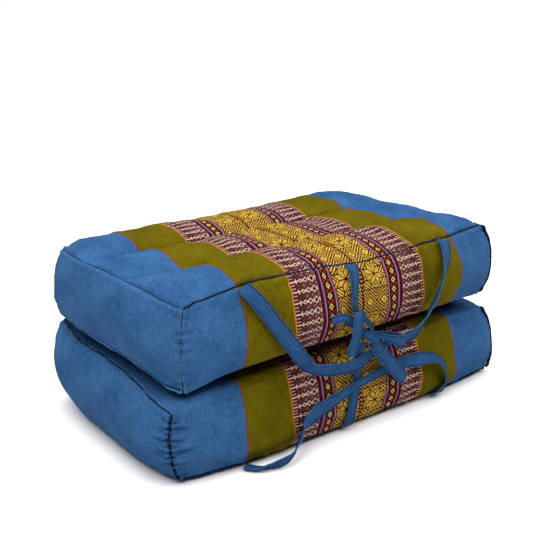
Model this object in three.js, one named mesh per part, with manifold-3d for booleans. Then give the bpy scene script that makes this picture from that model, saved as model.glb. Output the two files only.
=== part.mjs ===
import * as THREE from 'three';
import { mergeVertices } from 'three/addons/utils/BufferGeometryUtils.js';
import Module from 'manifold-3d';

const wasm = await Module();
wasm.setup();

// Folding block cushion with tie straps. Two stuffed leaves lie on each other like a closed book,
// with the fold along the back. Each leaf is stuffed as three channels that run along its length.
// Flat blue tapes come out of the front seams: a carry strap and a centre tie on each leaf.
// The carry straps cross in front of the leaves and the two centre ties hold them in a bow.

// Frame: +X along the length, the open front faces -Y, +Z up, and the floor is z = 0.
// All sizes are in millimetres.

// Driving dimensions
const LENGTH = 400;
const DEPTH = 252;
const FOLD_HEIGHT = 94;
const LEAF_HEIGHT = 84;
const CHANNELS = 3;
const CROWN = 11;
const PIECE_GAP = 0.3;
const KNOT_GAP = 0.35;
const TAPE_THICKNESS = 2;
const STRAP_WIDTH = 15;
const TIE_WIDTH = 12;

// How finely each leaf is faceted along its length, across each channel and up its sides
const STEPS_LONG = 26;
const STEPS_CHANNEL = 6;
const STEPS_HIGH = 8;

// How far the pull of a corner and the fall of a stuffed edge reach into the leaf
const CORNER_REACH_LONG = 95;
const CORNER_REACH_DEEP = 85;
const END_FALL = 46;
const SIDE_FALL = 52;

const CLOTH = { color: 0x3a6ea5, roughness: 0.9, metalness: 0 };
const TAPE = { color: 0x2f62a3, roughness: 0.85, metalness: 0 };

// Where the two leaves press on each other: the plane rises a little towards the fold
const PRESS_RISE = 2;
const pressPlane = (y) => FOLD_HEIGHT + (PRESS_RISE * y) / (DEPTH / 2);

// The four long edges of a leaf at the middle of its length, the rise of its faces, and its corners.
// A corner row gives how far that corner is pulled away from the straight edges.
const UPPER_LEAF = {
  left: -LENGTH / 2,
  right: LENGTH / 2,
  edges: {
    frontHigh: { y: -DEPTH / 2 - 7, z: 2 * LEAF_HEIGHT + 9 },
    frontLow: { y: -DEPTH / 2 - 14, z: LEAF_HEIGHT + 20 },
    backHigh: { y: DEPTH / 2, z: 2 * LEAF_HEIGHT + 6 },
    backLow: { y: DEPTH / 2 + 1, z: LEAF_HEIGHT + 16 },
  },
  crownHigh: CROWN,
  crownLow: 16,
  valleySink: 4,
  endLift: 0,
  bulge: { front: 12, back: 12, left: 14, right: 14 },
  lowest: (y) => pressPlane(y) + PIECE_GAP / 2,
  highest: () => Infinity,
  corners: [
    { side: 'left', row: 'frontHigh', dx: 13, dy: 8, dz: -10, bowX: 0, bowY: 0 },
    { side: 'left', row: 'frontLow', dx: 8, dy: 15, dz: -14, bowX: 0, bowY: 0 },
    { side: 'left', row: 'backHigh', dx: 15, dy: -2, dz: 0, bowX: -5, bowY: 3 },
    { side: 'left', row: 'backLow', dx: 7, dy: -3, dz: -2, bowX: -5, bowY: 3 },
    { side: 'right', row: 'frontHigh', dx: -8, dy: 8, dz: 1, bowX: 8, bowY: -4 },
    { side: 'right', row: 'frontLow', dx: -12, dy: 12, dz: -8, bowX: 8, bowY: -4 },
    { side: 'right', row: 'backHigh', dx: -9, dy: -4, dz: 2, bowX: 5, bowY: 3 },
    { side: 'right', row: 'backLow', dx: -9, dy: -3, dz: 0, bowX: 5, bowY: 3 },
  ],
};

const LOWER_LEAF = {
  left: -LENGTH / 2 - 4,
  right: LENGTH / 2 + 8,
  edges: {
    frontHigh: { y: -DEPTH / 2 + 4, z: LEAF_HEIGHT - 5 },
    frontLow: { y: -DEPTH / 2 - 4, z: 4 },
    backHigh: { y: DEPTH / 2 + 1, z: LEAF_HEIGHT + 6 },
    backLow: { y: DEPTH / 2, z: 5 },
  },
  crownHigh: 13,
  crownLow: CROWN,
  valleySink: 0,
  endLift: 6,
  bulge: { front: 13, back: 12, left: 19, right: 14 },
  lowest: () => 0,
  highest: (y) => pressPlane(y) - PIECE_GAP / 2,
  corners: [
    { side: 'left', row: 'frontHigh', dx: -3, dy: -6, dz: -4, bowX: -3, bowY: 0 },
    { side: 'left', row: 'frontLow', dx: 5, dy: 9, dz: 0, bowX: -3, bowY: 0 },
    { side: 'left', row: 'backHigh', dx: 12, dy: -3, dz: 0, bowX: -8, bowY: 3 },
    { side: 'left', row: 'backLow', dx: 12, dy: -3, dz: 2, bowX: -8, bowY: 3 },
    { side: 'right', row: 'frontHigh', dx: -12, dy: -4, dz: 3, bowX: 7, bowY: -4 },
    { side: 'right', row: 'frontLow', dx: 2, dy: 6, dz: 0, bowX: 7, bowY: -4 },
    { side: 'right', row: 'backHigh', dx: -9, dy: -3, dz: 0, bowX: 5, bowY: 3 },
    { side: 'right', row: 'backLow', dx: -9, dy: -3, dz: 2, bowX: 5, bowY: 3 },
  ],
};

// The band along the fold: how far it stands off the seams, and how it bows out between them
const FOLD = { steps: 22, arcSteps: 3, endShare: 0.03, edge: 0.08, clear: 0.6, thickness: 1.4, bow: 1.5 };

// The knot in the middle of the bow
const KNOT = {
  x: 2,
  y: -153,
  z: 105,
  halfLong: 9,
  halfDeep: 6,
  halfHigh: 7,
  turns: 2,
  turnRise: 0.08,
  facetsRound: 20,
  facetsHigh: 14,
};

// Facets along a tape between two rows of its route
const TAPE_STEPS = 3;

// Columns of a tape's route: the place of its middle line, its width there, and where its width
// points: lean in the front plane from +X towards +Z, and tilt towards the front, in degrees
const ROUTE_COLUMNS = ['x', 'y', 'z', 'width', 'lean', 'tilt'];

const CARRY_STRAP_UPPER = [
  [-124, -136, 175, STRAP_WIDTH, 8, 0],
  [-121, -143.5, 171, STRAP_WIDTH, 16, 0],
  [-115, -150, 160, STRAP_WIDTH, 24, 0],
  [-105.5, -152.5, 143, STRAP_WIDTH, 29, 0],
  [-90, -153, 119, STRAP_WIDTH, 33, 0],
  [-78, -151.5, 102, STRAP_WIDTH, 38, 30],
  [-70.5, -150.5, 92, STRAP_WIDTH, 60, 52],
  [-59, -149.5, 85.5, STRAP_WIDTH, 72, 35],
  [-37, -149, 79, STRAP_WIDTH, 80, 20],
  [-18, -149, 76.5, STRAP_WIDTH, 90, 20],
  [-2, -149, 78, STRAP_WIDTH, 97, 10],
  [14, -147, 81.2, STRAP_WIDTH, 102, 10],
  [35.5, -145.2, 84.7, STRAP_WIDTH, 104, 12],
  [56.5, -145.5, 87.4, STRAP_WIDTH, 112, 30],
  [66, -149.5, 92, STRAP_WIDTH, 126, 35],
  [75.5, -154.5, 103.5, STRAP_WIDTH, 140, 50],
  [90, -157.2, 122.5, STRAP_WIDTH, 150, 55],
  [101.5, -157, 143.5, STRAP_WIDTH, 158, 40],
  [113, -151.5, 160.5, STRAP_WIDTH, 168, 15],
  [119, -144, 171, STRAP_WIDTH, 174, 0],
  [122, -137, 174.8, STRAP_WIDTH, 178, 0],
];

const CARRY_STRAP_LOWER = [
  [-129, -133.8, 3.4, STRAP_WIDTH, 4, 0],
  [-127, -138, 3, STRAP_WIDTH, 0, 0],
  [-122, -146, 3.4, STRAP_WIDTH - 1, -8, -10],
  [-116, -152.5, 4.8, STRAP_WIDTH - 1, -30, -30],
  [-107.5, -156.5, 6.6, STRAP_WIDTH - 1, -75, -48],
  [-98, -156.5, 8, STRAP_WIDTH, -90, -50],
  [-88.5, -152.5, 11.5, STRAP_WIDTH, -82, -52],
  [-80, -147.5, 17, STRAP_WIDTH, -72, -60],
  [-73.5, -145.6, 24.5, STRAP_WIDTH, -58, -42],
  [-66, -145.2, 32.5, STRAP_WIDTH, -55, -12],
  [-55, -145.2, 39, STRAP_WIDTH, -66, 0],
  [-40, -145.4, 43.5, STRAP_WIDTH, -73, 0],
  [-24, -145.8, 47.5, STRAP_WIDTH, -75, 0],
  [-7, -145.8, 52, STRAP_WIDTH, -78, 0],
  [14, -145, 55, STRAP_WIDTH, -83, 0],
  [35, -144, 57, STRAP_WIDTH, -87, 0],
  [62, -142.5, 57.5, STRAP_WIDTH, -92, 8],
  [80, -143, 56, STRAP_WIDTH, -100, 30],
  [98, -143.8, 53.5, STRAP_WIDTH - 2, -118, 50],
  [109, -145.5, 48.5, STRAP_WIDTH - 2, -140, 50],
  [117, -146, 40, STRAP_WIDTH - 2, -158, 45],
  [121, -145.5, 28, STRAP_WIDTH - 2, -175, 40],
  [121, -143, 17, STRAP_WIDTH - 2, -188, 40],
  [117, -140, 7.5, STRAP_WIDTH - 2, -192, 15],
  [112, -133.6, 3.8, STRAP_WIDTH, -182, 0],
];

const TIE_UPPER = [
  [-6.5, -137.2, 175.2, TIE_WIDTH, 4, 0],
  [-8.5, -144.5, 171, TIE_WIDTH, 3, 0],
  [-11.5, -151, 160, TIE_WIDTH, 2, 0],
  [-13, -152.6, 146, TIE_WIDTH - 2, 8, 0],
  [-12.5, -152.9, 132, TIE_WIDTH - 3, 14, 0],
  [-9, -151.6, 119, TIE_WIDTH - 4, 26, 0],
  [-2, -151.5, 109, TIE_WIDTH - 5, 40, 0],
];

const TIE_LOWER = [
  [-15, -133.8, 4.4, TIE_WIDTH, 2, 0],
  [-15.3, -141.2, 15, TIE_WIDTH, 0, 0],
  [-14, -142.2, 26, TIE_WIDTH, -12, 0],
  [-10.5, -142.4, 38, TIE_WIDTH, -18, 0],
  [-7, -142, 50, TIE_WIDTH, -12, 0],
  [-4.5, -141.5, 62, TIE_WIDTH - 1, -6, 0],
  [-3.5, -143, 74, TIE_WIDTH - 2, -4, 0],
  [-3.5, -147, 87, TIE_WIDTH - 4, -8, 0],
  [-1, -150, 98, TIE_WIDTH - 5, -20, 0],
];

const BOW_LOOP_LONG = [
  [4, -157.5, 99, TIE_WIDTH - 3, 42, 0],
  [12, -157.5, 89.5, TIE_WIDTH + 1, 42, 0],
  [27, -155.5, 73, TIE_WIDTH + 2, 42, 0],
  [41, -153.5, 57.5, TIE_WIDTH + 2, 41, 0],
  [51, -152, 46, TIE_WIDTH, 41, 0],
  [53.5, -150.2, 43.5, TIE_WIDTH - 1, 41, 0],
  [50.5, -148.6, 46.5, TIE_WIDTH, 41, 0],
  [40, -149, 58, TIE_WIDTH, 41, 0],
  [26, -151, 73.5, TIE_WIDTH, 42, 0],
  [12, -153, 88.5, TIE_WIDTH - 2, 42, 0],
  [5, -153.5, 97.5, TIE_WIDTH - 5, 42, 0],
];

const BOW_LOOP_SHORT = [
  [9.5, -155.5, 104, TIE_WIDTH - 6.5, 70, 0],
  [18, -156.8, 102.5, TIE_WIDTH - 5, 70, 0],
  [32, -156, 98.5, TIE_WIDTH - 3, 64, 20],
  [45, -155, 92.5, TIE_WIDTH - 1, 62, 20],
  [48.8, -153.4, 89, TIE_WIDTH - 1, 62, 20],
  [44.6, -151.8, 88, TIE_WIDTH - 1, 62, 20],
  [32, -152, 94.5, TIE_WIDTH - 3, 62, 20],
  [18, -152.4, 101, TIE_WIDTH - 5, 68, 0],
  [9, -152, 104, TIE_WIDTH - 6, 70, 0],
];

const BOW_END_FOLDED = [
  [4.5, -157.6, 107.5, TIE_WIDTH - 6, 36, 0],
  [0, -159.5, 116.5, TIE_WIDTH - 5, 34, 0],
  [-8, -158, 128, TIE_WIDTH - 3, 24, 0],
  [-13, -156.4, 135.5, TIE_WIDTH - 1, 12, 0],
  [-15.5, -158, 138, TIE_WIDTH, 4, 0],
  [-16.5, -160.4, 135.5, TIE_WIDTH, 2, 0],
  [-17.5, -161, 126, TIE_WIDTH, 0, 0],
  [-19, -160, 112, TIE_WIDTH, -6, 0],
  [-21.5, -158.5, 101, TIE_WIDTH, -8, 0],
  [-23.5, -157.5, 92, TIE_WIDTH - 3, -8, 0],
];

const BOW_END_LEFT = [
  [-5, -154, 108.5, TIE_WIDTH - 6, 46, 0],
  [-15, -156.2, 119, TIE_WIDTH - 4, 46, 0],
  [-22.5, -156.2, 127.5, TIE_WIDTH - 3, 48, 0],
  [-29, -155.4, 133.5, TIE_WIDTH - 3, 62, 0],
  [-37, -154.6, 134.5, TIE_WIDTH - 3, 92, 0],
  [-45.5, -154, 132, TIE_WIDTH - 3, 100, 0],
];

const mix = (a, b, k) => a + (b - a) * k;
const clamp01 = (k) => Math.min(1, Math.max(0, k));
const smooth = (k) => k * k * (3 - 2 * k);

// How steeply a stuffed face leaves its sewn lines: lower powers are fuller
const CHANNEL_POWER = 0.75;
const SEAM_POWER = 0.7;

// A stuffed curve: 0 at both sewn lines, 1 half-way between them
const stuffed = (k) => Math.pow(4 * k * (1 - k), CHANNEL_POWER);

// Rise of a face near its end seam: 0 at the seam and 1 from the given distance inwards
const fall = (distance, reach) => {
  const k = clamp01(distance / reach);
  return Math.pow(k * (2 - k), SEAM_POWER);
};

// Three channels side by side, with a sewn valley between each two
const channelRise = (depthShare) => {
  const place = clamp01(depthShare) * CHANNELS;
  const share = place - Math.min(Math.floor(place), CHANNELS - 1);
  return stuffed(share);
};

// The pull of one corner dies away smoothly with the distance from it
const cornerPull = (distance, reach) => smooth(clamp01(1 - distance / reach));

// A point on the skin of a leaf. along, deep and high run from 0 to 1: left to right, front to
// back and bottom to top. At least one of them is 0 or 1.
function skinPoint(leaf, along, deep, high) {
  const { edges, bulge } = leaf;
  const length = leaf.right - leaf.left;
  const x0 = mix(leaf.left, leaf.right, along);
  const y0 = mix(
    mix(edges.frontLow.y, edges.frontHigh.y, high),
    mix(edges.backLow.y, edges.backHigh.y, high),
    deep,
  );
  const z0 = mix(
    mix(edges.frontLow.z, edges.backLow.z, deep),
    mix(edges.frontHigh.z, edges.backHigh.z, deep),
    high,
  );
  const fromLeft = along * length;
  const fromRight = (1 - along) * length;
  const fromFront = deep * DEPTH;
  const fromBack = (1 - deep) * DEPTH;
  const base = new THREE.Vector3(x0, y0, z0);
  for (const corner of leaf.corners) {
    const onLeft = corner.side === 'left';
    const onFront = corner.row.startsWith('front');
    const share = corner.row.endsWith('High') ? high : 1 - high;
    const pull = share
      * cornerPull(onLeft ? fromLeft : fromRight, CORNER_REACH_LONG)
      * cornerPull(onFront ? fromFront : fromBack, CORNER_REACH_DEEP);
    const bow = stuffed(high);
    base.x += (corner.dx + corner.bowX * bow) * pull;
    base.y += (corner.dy + corner.bowY * bow) * pull;
    base.z += corner.dz * pull;
  }
  const lengthFall = fall(fromLeft, END_FALL) * fall(fromRight, END_FALL);
  base.z += leaf.endLift * high * stuffed(deep) * (1 - fall(fromLeft, END_FALL));
  base.z -= leaf.valleySink * high * stuffed(deep) ** 2 * lengthFall;
  const sideFall = fall(fromLeft, SIDE_FALL) * fall(fromRight, SIDE_FALL);
  const endFall = fall(fromFront, SIDE_FALL) * fall(fromBack, SIDE_FALL);
  const point = base.clone();
  if (deep === 0) point.y -= bulge.front * stuffed(high) * sideFall;
  if (deep === 1) point.y += bulge.back * stuffed(high) * sideFall;
  if (along === 0) point.x -= bulge.left * stuffed(high) * endFall;
  if (along === 1) point.x += bulge.right * stuffed(high) * endFall;
  if (high === 1) {
    const raised = base.z + leaf.crownHigh * channelRise(deep) * lengthFall;
    point.z = Math.max(base.z, Math.min(raised, leaf.highest(base.y)));
  }
  if (high === 0) {
    const sunk = base.z - leaf.crownLow * channelRise(deep) * lengthFall;
    point.z = Math.min(base.z, Math.max(sunk, leaf.lowest(base.y)));
  }
  return point;
}

function indexedGeometry(positions, indices) {
  const geometry = new THREE.BufferGeometry();
  geometry.setAttribute('position', new THREE.Float32BufferAttribute(positions, 3));
  geometry.setIndex(indices);
  return geometry;
}

// Skin of a leaf as a closed mesh: six gridded faces that share their edge points
function leafGeometry(leaf) {
  const nx = STEPS_LONG;
  const ny = STEPS_CHANNEL * CHANNELS;
  const nz = STEPS_HIGH;
  const positions = [];
  const indices = [];
  const known = new Map();
  const vertex = (i, j, k) => {
    const key = `${i},${j},${k}`;
    if (!known.has(key)) {
      known.set(key, positions.length / 3);
      const p = skinPoint(leaf, i / nx, j / ny, k / nz);
      positions.push(p.x, p.y, p.z);
    }
    return known.get(key);
  };
  const quad = (a, b, c, d) => indices.push(a, b, c, a, c, d);
  for (let i = 0; i < nx; i++) {
    for (let j = 0; j < ny; j++) {
      quad(vertex(i, j, nz), vertex(i + 1, j, nz), vertex(i + 1, j + 1, nz), vertex(i, j + 1, nz));
      quad(vertex(i, j, 0), vertex(i, j + 1, 0), vertex(i + 1, j + 1, 0), vertex(i + 1, j, 0));
    }
    for (let k = 0; k < nz; k++) {
      quad(vertex(i, 0, k), vertex(i + 1, 0, k), vertex(i + 1, 0, k + 1), vertex(i, 0, k + 1));
      quad(vertex(i, ny, k), vertex(i, ny, k + 1), vertex(i + 1, ny, k + 1), vertex(i + 1, ny, k));
    }
  }
  for (let j = 0; j < ny; j++) {
    for (let k = 0; k < nz; k++) {
      quad(vertex(0, j, k), vertex(0, j, k + 1), vertex(0, j + 1, k + 1), vertex(0, j + 1, k));
      quad(vertex(nx, j, k), vertex(nx, j + 1, k), vertex(nx, j + 1, k + 1), vertex(nx, j, k + 1));
    }
  }
  return indexedGeometry(positions, indices);
}

// The band of cloth that joins the two leaves along the fold, between their inner back seams
function foldGeometry() {
  const rings = [];
  for (let i = 0; i <= FOLD.steps; i++) {
    const along = mix(FOLD.endShare, 1 - FOLD.endShare, i / FOLD.steps);
    const above = skinPoint(UPPER_LEAF, along, 1, 0);
    const below = skinPoint(LOWER_LEAF, along, 1, 1);
    const ring = [];
    const arcs = [
      { out: FOLD.clear, from: 0, to: 1 },
      { out: FOLD.clear + FOLD.thickness, from: 1, to: 0 },
    ];
    for (const arc of arcs) {
      for (let k = 0; k <= FOLD.arcSteps; k++) {
        const share = mix(arc.from, arc.to, k / FOLD.arcSteps);
        const inset = mix(FOLD.edge, 1 - FOLD.edge, share);
        const point = above.clone().lerp(below, inset);
        point.y += arc.out + FOLD.bow * 4 * share * (1 - share);
        ring.push(point);
      }
    }
    rings.push(ring);
  }
  return ringsGeometry(rings);
}

// A closed skin through rings of points, all rings with the same number of points
function ringsGeometry(rings) {
  const count = rings[0].length;
  const positions = rings.flat().flatMap((p) => [p.x, p.y, p.z]);
  const indices = [];
  for (let i = 0; i + 1 < rings.length; i++) {
    for (let k = 0; k < count; k++) {
      const a = i * count + k;
      const b = i * count + ((k + 1) % count);
      indices.push(a, b, b + count, a, b + count, a + count);
    }
  }
  const last = (rings.length - 1) * count;
  const half = count / 2;
  for (let k = 0; k + 1 < half; k++) {
    const far = count - 1 - k;
    indices.push(k, far, far - 1, k, far - 1, k + 1);
    indices.push(last + k, last + k + 1, last + far - 1, last + k, last + far - 1, last + far);
  }
  return indexedGeometry(positions, indices);
}

// A flat tape swept along its route. Its width points in the front plane at the row's lean, and is
// then tilted out towards the front.
function tapeGeometry(rows) {
  const route = rows.map((row) => Object.fromEntries(ROUTE_COLUMNS.map((name, i) => [name, row[i]])));
  const points = route.map((row) => new THREE.Vector3(row.x, row.y, row.z));
  const curve = new THREE.CatmullRomCurve3(points, false, 'centripetal');
  const steps = (route.length - 1) * TAPE_STEPS;
  const rings = [];
  for (let i = 0; i <= steps; i++) {
    const place = (i / steps) * (route.length - 1);
    const at = Math.min(Math.floor(place), route.length - 2);
    const share = place - at;
    const ease = smooth(share);
    const read = (name) => mix(route[at][name], route[at + 1][name], ease);
    const middle = curve.getPoint(i / steps);
    const tangent = curve.getTangent(i / steps);
    const lean = THREE.MathUtils.degToRad(read('lean'));
    const tilt = THREE.MathUtils.degToRad(read('tilt'));
    const across = new THREE.Vector3(
      Math.cos(lean) * Math.cos(tilt),
      -Math.sin(tilt),
      Math.sin(lean) * Math.cos(tilt),
    );
    across.addScaledVector(tangent, -across.dot(tangent)).normalize();
    const face = new THREE.Vector3().crossVectors(tangent, across);
    const halfWidth = read('width') / 2;
    const halfThick = TAPE_THICKNESS / 2;
    rings.push([[-1, -1], [1, -1], [1, 1], [-1, 1]].map(([u, v]) => middle.clone()
      .addScaledVector(across, u * halfWidth)
      .addScaledVector(face, v * halfThick)));
  }
  return ringsGeometry(rings);
}

// The knot of the bow: a lump with two shallow turns of tape around it. It can be grown all round,
// to cut the ends of the tapes clear of it.
function knotGeometry(grow) {
  const geometry = new THREE.SphereGeometry(1, KNOT.facetsRound, KNOT.facetsHigh);
  const position = geometry.attributes.position;
  const point = new THREE.Vector3();
  for (let i = 0; i < position.count; i++) {
    point.fromBufferAttribute(position, i);
    const turns = 1 + KNOT.turnRise * Math.cos(KNOT.turns * Math.PI * point.x);
    position.setXYZ(
      i,
      KNOT.x + point.x * (KNOT.halfLong + grow),
      KNOT.y + point.y * turns * (KNOT.halfDeep + grow),
      KNOT.z + point.z * turns * (KNOT.halfHigh + grow),
    );
  }
  return geometry;
}

// A mesh as a solid that can be cut
function solidOf(geometry) {
  const bare = geometry.clone();
  bare.deleteAttribute('normal');
  bare.deleteAttribute('uv');
  const merged = mergeVertices(bare);
  return new wasm.Manifold(new wasm.Mesh({
    numProp: 3,
    vertProperties: new Float32Array(merged.attributes.position.array),
    triVerts: new Uint32Array(merged.index.array),
  }));
}

function geometryOf(solid) {
  const mesh = solid.getMesh();
  return indexedGeometry(mesh.vertProperties, Array.from(mesh.triVerts));
}

// A tape that runs up to the knot stops a little before it
function tapeToKnot(rows) {
  return geometryOf(solidOf(tapeGeometry(rows)).subtract(solidOf(knotGeometry(KNOT_GAP))));
}

const cushion = new THREE.Group();

function addPiece(name, geometry, look) {
  geometry.computeVertexNormals();
  const piece = new THREE.Mesh(geometry, new THREE.MeshStandardMaterial(look));
  piece.name = name;
  cushion.add(piece);
}

addPiece('leaf_upper', leafGeometry(UPPER_LEAF), CLOTH);
addPiece('leaf_lower', leafGeometry(LOWER_LEAF), CLOTH);
addPiece('fold_band', foldGeometry(), CLOTH);
addPiece('carry_strap_upper', tapeGeometry(CARRY_STRAP_UPPER), TAPE);
addPiece('carry_strap_lower', tapeGeometry(CARRY_STRAP_LOWER), TAPE);
addPiece('tie_upper', tapeToKnot(TIE_UPPER), TAPE);
addPiece('tie_lower', tapeToKnot(TIE_LOWER), TAPE);
addPiece('bow_knot', geometryOf(solidOf(knotGeometry(0))), TAPE);
addPiece('bow_loop_long', tapeToKnot(BOW_LOOP_LONG), TAPE);
addPiece('bow_loop_short', tapeToKnot(BOW_LOOP_SHORT), TAPE);
addPiece('bow_end_folded', tapeToKnot(BOW_END_FOLDED), TAPE);
addPiece('bow_end_left', tapeToKnot(BOW_END_LEFT), TAPE);

export default cushion;
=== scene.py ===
import math
from itertools import product

import bpy
import numpy as np
from mathutils import Matrix, Vector, noise


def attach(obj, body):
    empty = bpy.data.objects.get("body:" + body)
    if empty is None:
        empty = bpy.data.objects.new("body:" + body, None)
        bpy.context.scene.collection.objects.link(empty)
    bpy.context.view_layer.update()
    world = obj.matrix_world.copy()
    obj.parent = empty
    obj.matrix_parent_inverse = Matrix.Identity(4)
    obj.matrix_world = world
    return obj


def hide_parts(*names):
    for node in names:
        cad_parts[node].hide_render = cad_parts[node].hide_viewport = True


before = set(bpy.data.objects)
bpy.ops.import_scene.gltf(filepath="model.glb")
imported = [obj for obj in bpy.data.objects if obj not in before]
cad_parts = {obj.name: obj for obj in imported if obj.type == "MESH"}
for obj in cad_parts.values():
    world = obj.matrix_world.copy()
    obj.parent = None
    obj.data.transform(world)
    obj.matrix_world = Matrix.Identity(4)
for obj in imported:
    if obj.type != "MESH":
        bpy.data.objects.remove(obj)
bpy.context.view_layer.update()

# Folding block cushion with ties, dressed in striped and brocaded cotton.
# Sizes are in millimetres and become metres where a mesh is made. +X along the channels, the open
# front faces -Y, the fold is at +Y, +Z up, and the floor is z = 0.
MM = 0.001

LENGTH = 400
DEPTH = 252
FOLD_HEIGHT = 94
PRESS_RISE = 2
LEAF_HEIGHT = 84
CHANNELS = 3
CROWN = 11
PIECE_GAP = 0.3
STRAP_WIDTH = 15
TIE_WIDTH = 12

CORNER_REACH_LONG = 95
CORNER_REACH_DEEP = 85
END_FALL = 46
SIDE_FALL = 52
CHANNEL_POWER = 0.75
SEAM_POWER = 0.7
# Brings smooth noise up to a wobble of about 1
WOBBLE = 1.6
# Within these a point counts as on a seam, in mm, and as on a side, as a share
ON_SEAM = 0.01
ON_SIDE = 0.001

# Steps of the cloth skin along the leaf, across one channel and up a side, and how far they crowd
# together towards the seams
STEPS_LONG = 100
STEPS_CHANNEL = 18
STEPS_HIGH = 28
CROWDING = 0.5

# The two leaves. Edges give y and z of the long edges at the middle of the length. Each corner has
# its side and edge, its shift in x, y and z, and the bow of its upright seam in x and y. Gathers
# replaces rows of PLAIN_SEAMS, and number keeps the two leaves' wobbles apart.
UPPER_LEAF = {
    "name": "leaf_upper",
    "number": 0,
    "left": -LENGTH / 2,
    "right": LENGTH / 2,
    "edges": {
        "frontHigh": (-DEPTH / 2 - 7, 2 * LEAF_HEIGHT + 9),
        "frontLow": (-DEPTH / 2 - 14, LEAF_HEIGHT + 20),
        "backHigh": (DEPTH / 2, 2 * LEAF_HEIGHT + 6),
        "backLow": (DEPTH / 2 + 1, LEAF_HEIGHT + 16),
    },
    "crown_high": CROWN,
    "crown_low": 16,
    "valley_sink": 4,
    "end_lift": 0,
    "bulge": {"front": 12, "back": 12, "left": 14, "right": 14},
    "ridge": "frontHigh",
    "cloth_shift": 0,
    "weave_shift": 0,
    "squeeze": 0.03,
    "gathers": {},
    "corners": [
        ("left", "frontHigh", 13, 8, -10, 0, 0),
        ("left", "frontLow", 8, 15, -14, 0, 0),
        ("left", "backHigh", 9.5, -2, -2.5, -1.5, 3),
        ("left", "backLow", 7, -3, -1, -2.5, 3),
        ("right", "frontHigh", -7, 8, 1, 6, -4),
        ("right", "frontLow", -8, 12, -3, 6, -4),
        ("right", "backHigh", -9, -4, 2, 5, 3),
        ("right", "backLow", -9, -3, 0, 5, 3),
    ],
}

LOWER_LEAF = {
    "name": "leaf_lower",
    "number": 1,
    "left": -LENGTH / 2 - 4,
    "right": LENGTH / 2 + 8,
    "edges": {
        "frontHigh": (-DEPTH / 2 + 4, LEAF_HEIGHT - 5),
        "frontLow": (-DEPTH / 2 - 4, 4),
        "backHigh": (DEPTH / 2 + 1, LEAF_HEIGHT + 6),
        "backLow": (DEPTH / 2, 5),
    },
    "crown_high": 13,
    "crown_low": CROWN,
    "valley_sink": 0,
    "end_lift": 6,
    "bulge": {"front": 13, "back": 12, "left": 19, "right": 14},
    "ridge": "frontLow",
    "cloth_shift": 5,
    "weave_shift": -8.6,
    "squeeze": -0.01,
    "gathers": {("left", "top"): (1.6, 5.5, 11), ("left", "front"): (0.9, 7, 11)},
    "corners": [
        ("left", "frontHigh", -3, -6, -4, -3, 0),
        ("left", "frontLow", 5, 9, 0, -3, 0),
        ("left", "backHigh", 12, -3, 3, -8, 3),
        ("left", "backLow", 12, -3, 2, -8, 3),
        ("right", "frontHigh", -10, -4, 4, 2, -4),
        ("right", "frontLow", 4, 6, 0, 2, -4),
        ("right", "backHigh", -9, -3, 0, 5, 3),
        ("right", "backLow", -9, -3, 2, 5, 3),
    ],
}

# Routes of the tapes: x, y, z of the middle line, how much narrower than its full width the tape is
# there, the lean of the width in the front plane, and its tilt towards the front, in degrees
CARRY_STRAP_UPPER = [
    (-130, -136.5, 179.2, 0, 8, 0),
    (-127, -143.8, 174, 0, 14, 0),
    (-119, -150, 161.5, 0, 23, 0),
    (-107, -152.5, 143, 0, 29, 0),
    (-90, -153, 119, 0, 33, 0),
    (-78, -151.5, 102, 0, 38, 30),
    (-70.5, -150.5, 92, 0, 60, 52),
    (-59, -149.5, 85.5, 0, 72, 35),
    (-37, -149, 79, 0, 80, 20),
    (-18, -149, 76.5, 0, 90, 20),
    (-2, -149, 78, 0, 97, 10),
    (14, -146.5, 82, 3, 104, 10),
    (35.5, -145.2, 87, 6, 106, 12),
    (52, -146.5, 88.5, 5, 112, 12),
    (61.5, -150.5, 89.5, 1, 116, 8),
    (70, -154, 96.5, 1, 134, 30),
    (79, -156, 108, 3, 144, 48),
    (90, -157.2, 124.5, 3, 152, 55),
    (100, -157, 143.5, 2, 158, 45),
    (110, -151.5, 161.5, 2, 168, 15),
    (115, -144, 172.6, 2, 174, 0),
    (118, -137.2, 176.8, 2, 178, 0),
]

CARRY_STRAP_LOWER = [
    (-134, -133.8, 3.6, 6, 4, 0),
    (-131, -138, 3.2, 4, -6, 0),
    (-124, -145.5, 3.4, 2, -14, -10),
    (-116, -152.5, 5.2, 3, -55, -20),
    (-107.5, -156.5, 7.6, 2, -90, -25),
    (-98, -156.5, 9.2, 0, -90, -30),
    (-88.5, -152.5, 12.2, 0, -80, -34),
    (-80, -147.8, 17, 0, -66, -50),
    (-73.5, -145.6, 24.5, 0, -52, -50),
    (-66, -145.2, 32.5, 0, -55, -12),
    (-55, -145.2, 39, 0, -66, 0),
    (-40, -145.4, 43.5, 1, -71, 0),
    (-24, -145.8, 48, 4, -72, 0),
    (-7, -145.8, 52.5, 6.5, -76, 0),
    (14, -145, 56, 6.5, -82, 0),
    (35, -144, 57.5, 4, -87, 0),
    (62, -142.5, 57.5, 2, -92, 8),
    (80, -143, 56, 0, -100, 30),
    (98, -143.8, 53.5, 2, -118, 50),
    (109, -145.5, 48.5, 2, -140, 50),
    (117, -146, 40, 2, -158, 45),
    (121, -145.5, 28, 2, -175, 40),
    (121, -143, 17, 2, -188, 40),
    (117, -140, 7.5, 2, -192, 15),
    (112, -133.6, 3.8, 0, -182, 0),
]

TIE_UPPER = [
    (-6.5, -137.2, 175.2, 0, 4, 0),
    (-9, -144.5, 171, 1, 3, 0),
    (-12.6, -151, 160, 3.2, 2, 0),
    (-14, -152.6, 146, 5.3, 8, 0),
    (-13, -152.9, 132, 6.3, 14, 0),
    (-9.3, -151.6, 119, 6.8, 26, 0),
    (-2, -151.5, 109, 7, 40, 0),
]

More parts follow.
